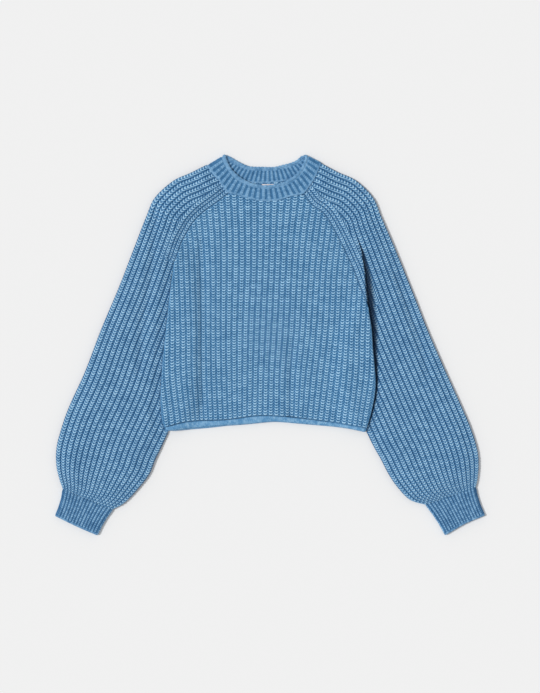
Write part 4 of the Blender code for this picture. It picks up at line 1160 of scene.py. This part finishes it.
class Band:
    """A ring of cloth pressed flat: two layers joined at two folds.

    upper and lower are pairs of lines (seam, free edge) from the right fold to the left one.
    The ring's columns run over the upper layer, round the left fold, back over the lower
    layer and round the right fold.  The rows run up the outer face, over the free edge and
    back along the inner face.
    """

    def __init__(self, upper, lower, top, base, ribs, per_rib, rows, bead, waist=0):
        self.pairs, self.top, self.base, self.waist = (upper, lower), top, base, waist
        flat = np.linspace(0, 1, ribs * per_rib + 1)
        n, bend = len(flat), len(FOLD_TURNS)
        self.t = np.concatenate((flat, np.ones(bend), flat[::-1], np.zeros(bend)))
        self.turn = np.concatenate((0 * flat + QUARTER, FOLD_TURNS, 0 * flat - QUARTER,
                                    FOLD_TURNS[::-1]))
        self.folded = np.concatenate((0 * flat, np.ones(bend), 0 * flat, np.ones(bend))) > 0
        self.layer = (self.turn < -1e-6).astype(int)
        across = np.concatenate((np.full(n - 1, 1 / per_rib), np.full(bend + 1, FOLD_WALES)))
        self.u = np.concatenate(([0.0], np.cumsum(np.tile(across, 2))))
        self.v = np.concatenate((rows, 1 + bead * np.sin(FREE_EDGE), rows[::-1]))
        self.w = np.concatenate((0 * rows, (1 - np.cos(FREE_EDGE)) / 2, 0 * rows + 1))
        self.width = float(np.hypot(*(points_at(upper[1], 0.5) - points_at(upper[0], 0.5))))

    def places(self, t):
        """Place in the plan of each column, at t along its layer, and row."""
        xy = np.empty((len(t), len(self.v), 2))
        v = self.v[None, :, None]
        for layer, pair in enumerate(self.pairs):
            pick = self.layer == layer
            seam, edge = (points_at(line, t[pick])[:, None] for line in pair)
            middle = [points_at(line, 0.5) for line in pair]
            middle = middle[0] + (middle[1] - middle[0]) * v
            xy[pick] = seam + (edge - seam) * v
            xy[pick] += (middle - xy[pick]) * self.waist * 4 * v * (1 - v)
        return xy

    def face(self, inner):
        """Points of the outer or the inner face at each column and row."""
        run = np.array([lengths(pair[0])[-1] for pair in self.pairs])[self.layer]
        right, left = (float(self.top(*p, t) - self.base(*p)) / 2
                       for p, t in ((points_at(self.pairs[0][0], t), t) for t in (0.0, 1.0)))
        half = np.where(self.t > 0.5, left, right)
        radius = np.maximum(2 * half - BAND_WALL - LOW_WALL, SLOT) / 2 if inner else half
        reach = (half - radius * np.cos(self.turn)) / run
        ends = np.array([right / run, 1 - left / run])
        flat = ends[0] + (ends[1] - ends[0]) * self.t
        xy = self.places(np.where(self.folded, np.where(self.t > 0.5, 1 - reach, reach), flat))
        x, y = xy[..., 0], xy[..., 1]
        low, high = self.base(x, y), self.top(x, y, self.t[:, None])
        if inner:
            low, high = low + LOW_WALL, np.maximum(high - BAND_WALL, low + LOW_WALL + SLOT)
        z = (low + high) / 2 + (high - low) / 2 * np.sin(self.turn)[:, None]
        return np.stack((x, y, z), -1)

    def build(self, name, relief, row, material):
        """relief(u, row, v, through, up) gives how far the yarn stands up, and how much of the
        stitch pattern shows; through is 1 on the inner face, up 1 on the upper layer."""
        through = self.w[None, :, None]
        points = self.face(False) * (1 - through) + self.face(True) * through
        n, m = points.shape[:2]
        rows = -self.v * self.width / row
        rise, knit = relief(self.u[:-1, None], rows[None], self.v[None], self.w[None],
                            np.sin(self.turn)[:, None])
        i, j = (k.ravel() for k in np.meshgrid(np.arange(n), np.arange(m), indexing="ij"))
        i2, j2 = (i + 1) % n, (j + 1) % m
        corners = np.stack((i * m + j, i2 * m + j, i2 * m + j2, i * m + j2), 1)
        u1, u2, v1, v2 = self.u[i], self.u[i + 1], rows[j], rows[j2]
        uv = np.stack([np.stack(pair, 1) for pair in ((u1, v1), (u2, v1), (u2, v2), (u1, v2))], 1)
        tri, uv = (np.vstack((all_four[:, [0, 1, 2]], all_four[:, [0, 2, 3]]))
                   for all_four in (corners, uv))
        flat = points.reshape(-1, 3)
        normal = face_normals(flat, tri, len(flat))
        middle = points.mean(1, keepdims=True)
        if np.sum(normal.reshape(n, m, 3) * (points - middle)) < 0:
            normal = -normal
        flat = flat + normal * np.broadcast_to(rise, (n, m)).reshape(-1, 1)
        return make_piece(name, flat, tri, uv, np.broadcast_to(knit, (n, m)).ravel(), material)


def on_floor(x, y):
    """Height that a collar or a cuff lies at."""
    return 0 * x


def crowned(t, edge, more):
    """Height of a layer at t across it: edge at its folds, more between them."""
    return edge + more * ease(np.minimum(t, 1 - t) / CROWN_SHARE)


def beads(u, per_wale):
    """Knobs in a row along a seam or a bound edge."""
    return 0.5 + 0.5 * np.cos(2 * math.pi * u * per_wale)


def knobbly(u, least, more, per_wale):
    """Rise of an edge with knobs."""
    return least + more * beads(u, per_wale)


def zone(v, start, end=None):
    """1 between the start and the end of a zone."""
    return grows(v, *start) * (1 - (grows(v, *end) if end else 0))


def outer_share(through, up):
    """1 where a band's outer face can be seen, 0 under it and on its inner face."""
    return (1 - through) * grows(up, *FOLD_SHOWS)


def collar(material):
    """The ribbed ring, linked to the panels and bound at its free edge."""
    up = (shifted(NECK, -OVERLAP), np.array(NECK_EDGE, float))
    low = (shifted(BACK_NECK, -2 * OVERLAP), np.array(BACK_EDGE, float))

    def relief(u, row, v, through, up):
        shows = outer_share(through, up) + through * grows(-up, *INSIDE_SHOWS)
        ribs = zone(v, *RIB_ZONE)
        rise = ribs * FINE.relief(u, row) + zone(v, *LINK_ZONE) * knobbly(u, *COLLAR_LINK)
        return (rise + zone(v, *BOUND_ZONE) * knobbly(u, *COLLAR_BOUND)) * shows, ribs

    band = Band(up, low, lambda x, y, t: crowned(t, *COLLAR_HEIGHT), on_floor, COLLAR_RIBS,
                BAND_CUTS, COLLAR_ROWS, bead=0.05)
    return band.build("collar_knit", relief, FINE.row, material)


def cuff(side, sign, material):
    """A short ribbed tube, its sides pulled in and its free edge bowed."""
    seam_out, seam_in, edge_out, edge_in = np.array(CUFF[side], float)
    seam = shifted(np.stack((seam_out, seam_in)), sign * SEAM_GAP)
    seam = np.stack((seam[0], seam.mean(0), seam[1]))
    edge = np.stack((edge_out, (edge_out + edge_in) / 2 + CUFF_BOW[side], edge_in))

    def relief(u, row, v, through, up):
        ribs = 1 - grows(v, *CUFF_RIB_END)
        rise = ribs * FINE.relief(u, row) + zone(v, *CUFF_BOUND_ZONE) * knobbly(u, *CUFF_BOUND)
        rise = rise - CUFF_SINK[0] * (1 - ease(v / CUFF_SINK[1]))
        return rise * outer_share(through, up), ribs

    band = Band((seam, edge), (seam, edge), lambda x, y, t: crowned(t, *CUFF_HEIGHT), on_floor,
                CUFF_RIBS, BAND_CUTS, CUFF_ROWS, bead=0.03, waist=CUFF_WAIST)
    return band.build("cuff_" + side + "_knit", relief, PLAIN_ROW, material)


def hem(material):
    """The plain edge that rolls over on itself, with its loops in a row."""
    top_line = shifted(HEM_LINE, OVERLAP)
    bottom = np.array(HEM_BOTTOM, float)

    def relief(u, row, v, through, up):
        v = np.clip(v, 0, 1)
        crown = -HEM_ROUND * np.abs(2 * v - 1) ** 3
        marked, middle, half = HEM_FURROW
        furrow = marked * bell(v - middle, half)
        loops = HEM_LOOP * beads(u, 1) * (1 - furrow)
        rise = crown + loops - FURROW_DEPTH * furrow
        # the furrow goes to the shader as its share of the pattern, painted shade along the top of the
        # hem
        return rise * outer_share(through, up), np.minimum(furrow, 1) + 0 * u

    band = Band((top_line, bottom), (dropped(top_line), dropped(bottom)),
                lambda x, y, t: lift(x, y) + HEM_HEIGHT, lift, HEM_LOOPS, HEM_CUTS, HEM_ROWS,
                bead=0.06)
    return band.build("hem_knit", relief, PLAIN_ROW, material)


def neck_tape(material):
    """A blank woven tape with rounded edges."""
    x0, y0, x1, y1, thick = LABEL
    middle = ((x0 + x1) / 2 * MM + SHIFT_X * MM, (y0 + y1) / 2 * MM,
              (BACK_WALL + CLEAR + thick / 2) * MM)
    bpy.ops.object.select_all(action="DESELECT")
    bpy.ops.mesh.primitive_cube_add(size=1, location=middle)
    tape = bpy.context.object
    tape.name = "neck_tape"
    tape.scale = ((x1 - x0) * MM, (y1 - y0) * MM, thick * MM)
    bpy.ops.object.transform_apply(location=True, rotation=True, scale=True)
    bevel = tape.modifiers.new("rounded", "BEVEL")
    bevel.width, bevel.segments = LABEL_EDGE * MM, 2
    bpy.ops.object.modifier_apply(modifier=bevel.name)
    bpy.ops.object.mode_set(mode="EDIT")
    bpy.ops.mesh.select_all(action="SELECT")
    bpy.ops.mesh.subdivide(number_cuts=3)
    bpy.ops.object.mode_set(mode="OBJECT")
    bpy.ops.object.shade_smooth_by_angle(angle=math.radians(40))
    tape.data.materials.append(material)
    return tape


# ---- materials -----------------------------------------------------------
DEEP = (30, 74, 116)       # sRGB colour of most of the yarns' shadows
PAINTED_SHADE_COLOR = (0, 26, 54)    # and of the painted shade at the bottom of the deep crease
PAINTED_SHADE_COVER = 0.93        # how much of the yarn's own colour that painted shade covers there
LEG_EDGE = (0.14, 0.16)    # how softly a stitch's leg ends inside and outside its width
DOT_WIDTH = 0.34           # of the dark dot where two legs meet, painted shade that also dips the bump, as a share of half a wale
TONES = (-0.6, 0.35, 1.05) # tones of the painted shadows, the yarn and its painted highlights on the tips
FIBRES, TUFTS = 900.0, 120.0         # scales of the fine and the broad mottling
MOTTLE = (1.2, 0.8, 0.6)   # how much fibres, tufts and whole stitches differ in tone
PLIES = (5.0, 12.0, 0.05)  # slant, number and height of the yarn's plies
HEIGHTS = (0.8, 0.35)      # share of the stitch and of the fibres in the bump

# each yarn's colours from its painted shadows through its own colour to its painted highlights on the
# tips, then its values in the knitted_yarn group
YARNS = {
    "body_yarn": ((DEEP, (82, 139, 184), (174, 214, 240)),
                  {"Leg Width": 0.57, "Bow": BODY.bow, "Gaps": 0.93, "Dots": 0.85,
                   "Groove": -0.47, "Holes": 1.0, "Heather": 0.45, "Plain": 0.45}),
    "sleeve_yarn": ((DEEP, (80, 135, 181), (174, 213, 238)),
                    {"Leg Width": 0.68, "Bow": SLEEVE.bow, "Gaps": 1.0, "Dots": 0.45,
                     "Groove": -0.12, "Holes": 1.25, "Heather": 0.5, "Plain": 0.45}),
    "collar_yarn": ((DEEP, (68, 120, 164), (126, 170, 206)),
                    {"Leg Width": 0.52, "Bow": FINE.bow, "Gaps": 0.3, "Dots": 0.1,
                     "Groove": -0.15, "Holes": 0.1, "Heather": 0.75, "Plain": 0.8}),
    "cuff_yarn": ((DEEP, (72, 122, 166), (144, 186, 218)),
                  {"Leg Width": 0.58, "Bow": FINE.bow, "Gaps": 0.7, "Dots": 0.1,
                   "Groove": -0.05, "Holes": 0.5, "Heather": 0.8, "Plain": 0.6}),
    # the hem's Groove value darkens its furrow as painted shade
    "hem_yarn": (((50, 98, 142), (92, 146, 190), (160, 200, 228)),
                 {"Leg Width": -0.3, "Bow": 1.0, "Gaps": 0.7, "Dots": 0.1,
                  "Groove": 0.45, "Holes": 0.2, "Heather": 0.8, "Plain": 0.45}),
}


class Nodes:
    """Short calls for the nodes of one tree."""

    def __init__(self, tree):
        self.tree = tree

    def add(self, kind, **facts):
        """A node with some of its own settings."""
        node = self.tree.nodes.new(kind)
        for key, fact in facts.items():
            setattr(node, key, fact)
        return node

    def set(self, socket, value):
        """Link a socket, or give it a plain value."""
        if isinstance(value, bpy.types.NodeSocket):
            self.tree.links.new(value, socket)
        else:
            socket.default_value = value

    def fill(self, node, values):
        """Set inputs of a node, by name or in their order."""
        for key, value in (values.items() if isinstance(values, dict) else enumerate(values)):
            self.set(node.inputs[key], value)
        return node.outputs[0]

    def math(self, operation, *values):
        """One step of a sum."""
        return self.fill(self.add("ShaderNodeMath", operation=operation), values)

    def range(self, value, low, high, to_low=0.0, to_high=1.0, kind="SMOOTHSTEP"):
        """A value between low and high as one between two others."""
        node = self.add("ShaderNodeMapRange", interpolation_type=kind)
        return self.fill(node, (value, low, high, to_low, to_high))

    def mix(self, share, one, two):
        """Two colours mixed."""
        node = self.add("ShaderNodeMix", data_type="RGBA")
        self.fill(node, {0: share, 6: one, 7: two})
        return node.outputs[2]

    def noise(self, vector, scale, detail=2.0, roughness=0.5):
        """A mottling around 0.5."""
        values = {"Vector": vector, "Scale": scale, "Detail": detail, "Roughness": roughness}
        return self.fill(self.add("ShaderNodeTexNoise"), values)

    def attribute(self, name):
        """A mark that the points of a piece carry."""
        return self.add("ShaderNodeAttribute", attribute_name=name).outputs["Fac"]


def yarn_group():
    """Knitted yarn: legs of the stitches with a painted highlight on their tips, the gaps between
    rows, the dot between two legs, the groove between wales with its holes, painted shade in the gaps,
    dots and holes, then heather, plies and the painted shade deep in the fold beside the body."""
    tree = bpy.data.node_groups.new("knitted_yarn", "ShaderNodeTree")
    colors = ("Deep", "Yarn", "Tips", "Painted Shade")
    values = ("Leg Width", "Bow", "Gaps", "Dots", "Groove", "Holes", "Heather", "Plain")
    for name in colors + values:
        kind = "NodeSocketColor" if name in colors else "NodeSocketFloat"
        tree.interface.new_socket(name, in_out="INPUT", socket_type=kind)
    tree.interface.new_socket("Color", in_out="OUTPUT", socket_type="NodeSocketColor")
    tree.interface.new_socket("Height", in_out="OUTPUT", socket_type="NodeSocketFloat")
    n = Nodes(tree)
    give, out = n.add("NodeGroupInput").outputs, n.add("NodeGroupOutput")
    split = n.add("ShaderNodeSeparateXYZ")
    n.set(split.inputs[0], n.add("ShaderNodeUVMap", uv_map="stitch").outputs[0])
    u, v = split.outputs[0], split.outputs[1]
    knit = n.attribute("knit")
    place = n.add("ShaderNodeTexCoord").outputs["Object"]

    across = n.math("ABSOLUTE", n.math("MULTIPLY_ADD", n.math("FRACT", u), 2.0, -1.0))
    climb = n.math("MULTIPLY", n.math("POWER", across, give["Bow"]), SLANT)
    turn = n.math("SUBTRACT", v, climb)
    wave = n.math("COSINE", n.math("MULTIPLY", turn, 2 * math.pi))
    between = n.math("MULTIPLY_ADD", wave, -0.5, 0.5)
    ends = (n.math("SUBTRACT", give["Leg Width"], LEG_EDGE[0]),
            n.math("ADD", give["Leg Width"], LEG_EDGE[1]))
    leg = n.range(across, *ends, 1.0, 0.0)
    dot = n.math("MULTIPLY", n.range(across, 0.0, DOT_WIDTH, 1.0, 0.0), give["Dots"])
    gap = n.math("MULTIPLY", between, n.math("ADD", give["Gaps"], dot))
    yarn = n.math("MULTIPLY", leg, n.math("SUBTRACT", 1.0, gap))
    low = n.math("ADD", give["Groove"], n.math("MULTIPLY", between, give["Holes"]))
    valley = n.math("MULTIPLY", n.math("SUBTRACT", 1.0, leg), low)
    shade = n.math("MULTIPLY", n.math("SUBTRACT", yarn, valley), knit)
    plain = n.math("MULTIPLY", n.math("SUBTRACT", 1.0, knit), give["Plain"])
    shade = n.math("ADD", shade, plain)

    stitch = n.fill(n.add("ShaderNodeCombineXYZ"), (n.math("FLOOR", u), n.math("ROUND", turn)))
    lot = n.add("ShaderNodeTexWhiteNoise", noise_dimensions="2D")
    n.set(lot.inputs["Vector"], stitch)
    fine, broad = n.noise(place, FIBRES, 3.0, 0.6), n.noise(place, TUFTS)
    heather = n.math("ADD", n.math("MULTIPLY", n.math("SUBTRACT", fine, 0.5), MOTTLE[0]),
                     n.math("MULTIPLY", n.math("SUBTRACT", broad, 0.5), MOTTLE[1]))
    apart = n.math("MULTIPLY_ADD", lot.outputs["Value"], MOTTLE[2], -MOTTLE[2] / 2)
    heather = n.math("ADD", heather, apart)
    tone = n.math("ADD", shade, n.math("MULTIPLY", heather, give["Heather"]))
    # Deep stands for painted shade in the gaps, dots and holes, Tips for a painted highlight on the
    # legs' crests
    color = n.mix(n.range(tone, *TONES[:2], kind="LINEAR"), give["Deep"], give["Yarn"])
    color = n.mix(n.range(tone, *TONES[1:], kind="LINEAR"), color, give["Tips"])
    # painted shade deep in the fold beside the body, from the mark that the left sleeve carries
    shade_painted_share = n.math("MULTIPLY", n.attribute("painted_shade"), PAINTED_SHADE_COVER)
    n.set(out.inputs["Color"], n.mix(shade_painted_share, color, give["Painted Shade"]))
    twist = n.math("ADD", n.math("MULTIPLY", across, PLIES[0]), v)
    ply = n.math("MULTIPLY", n.math("SINE", n.math("MULTIPLY", twist, PLIES[1])), PLIES[2])
    height = n.math("ADD", n.math("MULTIPLY", yarn, HEIGHTS[0]), n.math("MULTIPLY", fine, HEIGHTS[1]))
    n.set(out.inputs["Height"], n.math("ADD", height, ply))
    return tree


def rgb(red, green, blue):
    """Linear colour of an sRGB one."""
    return tuple((c / 255 / 12.92) if c <= 10 else ((c / 255 + 0.055) / 1.055) ** 2.4
                 for c in (red, green, blue)) + (1.0,)


def plain_material(name, **values):
    """A new material, its nodes and its shader, whose inputs have the given values."""
    mat = bpy.data.materials.new(name)
    mat.use_nodes = True
    shader = mat.node_tree.nodes["Principled BSDF"]
    for key, value in values.items():
        shader.inputs[key.replace("_", " ")].default_value = value
    return mat, Nodes(mat.node_tree), shader


def raised(n, shader, height, **values):
    """Feeds a height to the shader as a bump."""
    bump = n.add("ShaderNodeBump")
    n.fill(bump, values)
    n.set(bump.inputs["Height"], height)
    n.set(shader.inputs["Normal"], bump.outputs[0])


def knit_material(name, group):
    """The yarn of that name, soft and matte."""
    colors, values = YARNS[name]
    mat, n, shader = plain_material(name, Roughness=0.9, Specular_IOR_Level=0.2, Sheen_Weight=0.12,
                                    Sheen_Roughness=0.5, Sheen_Tint=(0.6, 0.8, 1.0, 1.0))
    look = n.add("ShaderNodeGroup", node_tree=group)
    for key, color in zip(("Deep", "Yarn", "Tips", "Painted Shade"), (*colors, PAINTED_SHADE_COLOR)):
        look.inputs[key].default_value = rgb(*color)
    n.fill(look, values)
    n.set(shader.inputs["Base Color"], look.outputs["Color"])
    raised(n, shader, look.outputs["Height"], Strength=0.6, Distance=0.0008)
    return mat


def tape_material():
    """Pale woven tape."""
    mat, n, shader = plain_material("woven_tape", Roughness=0.6)
    grain = n.noise(n.add("ShaderNodeTexCoord").outputs["Object"], 1400.0, 3.0)
    n.set(shader.inputs["Base Color"], n.mix(grain, rgb(214, 205, 204), rgb(236, 229, 227)))
    raised(n, shader, grain, Distance=0.0002)
    return mat


# ---- stage, in metres ----------------------------------------------------
FLOOR_GREY = 0.845
FLOOR_TOP = -0.0004        # just clear of the cloth
SUN_FROM = (-0.68, 0.08, 1.0)
SUN_POWER = 1.93
SUN_SIZE = 10              # degrees across, for soft shadows
ROOM_LIGHT = 0.53
CAMERA_AT = (0, -0.0036, 2.951)
LENS, SENSOR = 85, 36      # millimetres


def stage():
    """The pale surface, the light and the camera straight above."""
    bpy.ops.object.select_all(action="DESELECT")
    bpy.ops.mesh.primitive_plane_add(size=8, location=(0, 0, FLOOR_TOP))
    floor = bpy.context.object
    floor.name = "floor"
    bpy.ops.object.transform_apply(location=True, rotation=True, scale=True)
    grey = (FLOOR_GREY, FLOOR_GREY, FLOOR_GREY, 1)
    mat, _, _ = plain_material("pale_floor", Base_Color=grey, Roughness=1.0,
                               Specular_IOR_Level=0.0)
    floor.data.materials.append(mat)
    light = bpy.data.lights.new("window", "SUN")
    light.energy, light.angle = SUN_POWER, math.radians(SUN_SIZE)
    lamp = bpy.data.objects.new("window", light)
    lamp.rotation_euler = Vector(SUN_FROM).to_track_quat("Z", "Y").to_euler()
    bpy.context.collection.objects.link(lamp)
    world = bpy.data.worlds.new("room")
    world.use_nodes = True
    world.node_tree.nodes["Background"].inputs["Strength"].default_value = ROOM_LIGHT
    world.node_tree.nodes["Background"].inputs["Color"].default_value = (1, 1, 1, 1)
    scene = bpy.context.scene
    scene.world = world
    scene.view_settings.view_transform = "Standard"
    camera = bpy.data.cameras.new("camera")
    camera.lens, camera.sensor_width = LENS, SENSOR
    eye = bpy.data.objects.new("camera", camera)
    eye.location = CAMERA_AT
    bpy.context.collection.objects.link(eye)
    scene.camera = eye


def sweater():
    """All its pieces, by the node that each one replaces."""
    group = yarn_group()
    yarn = {name: knit_material(name, group) for name in YARNS}
    front, grid = front_panel(yarn["body_yarn"])
    pieces = {"front": front, "back": back_panel(yarn["body_yarn"], grid)}
    for side, sign in SIDES:
        pieces["sleeve_" + side] = sleeve(side, sign, yarn["sleeve_yarn"])
        pieces["cuff_" + side] = cuff(side, sign, yarn["cuff_yarn"])
    pieces["collar"] = collar(yarn["collar_yarn"])
    pieces["hem"] = hem(yarn["hem_yarn"])
    pieces["neck_label"] = neck_tape(tape_material())
    return pieces


def main():
    """Stage and sweater, each piece put under the root body in place of the solid that it stands for,
    which is hidden.
    """
    stage()
    for node, piece in sweater().items():
        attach(piece, "root")
        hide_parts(node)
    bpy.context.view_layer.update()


main()
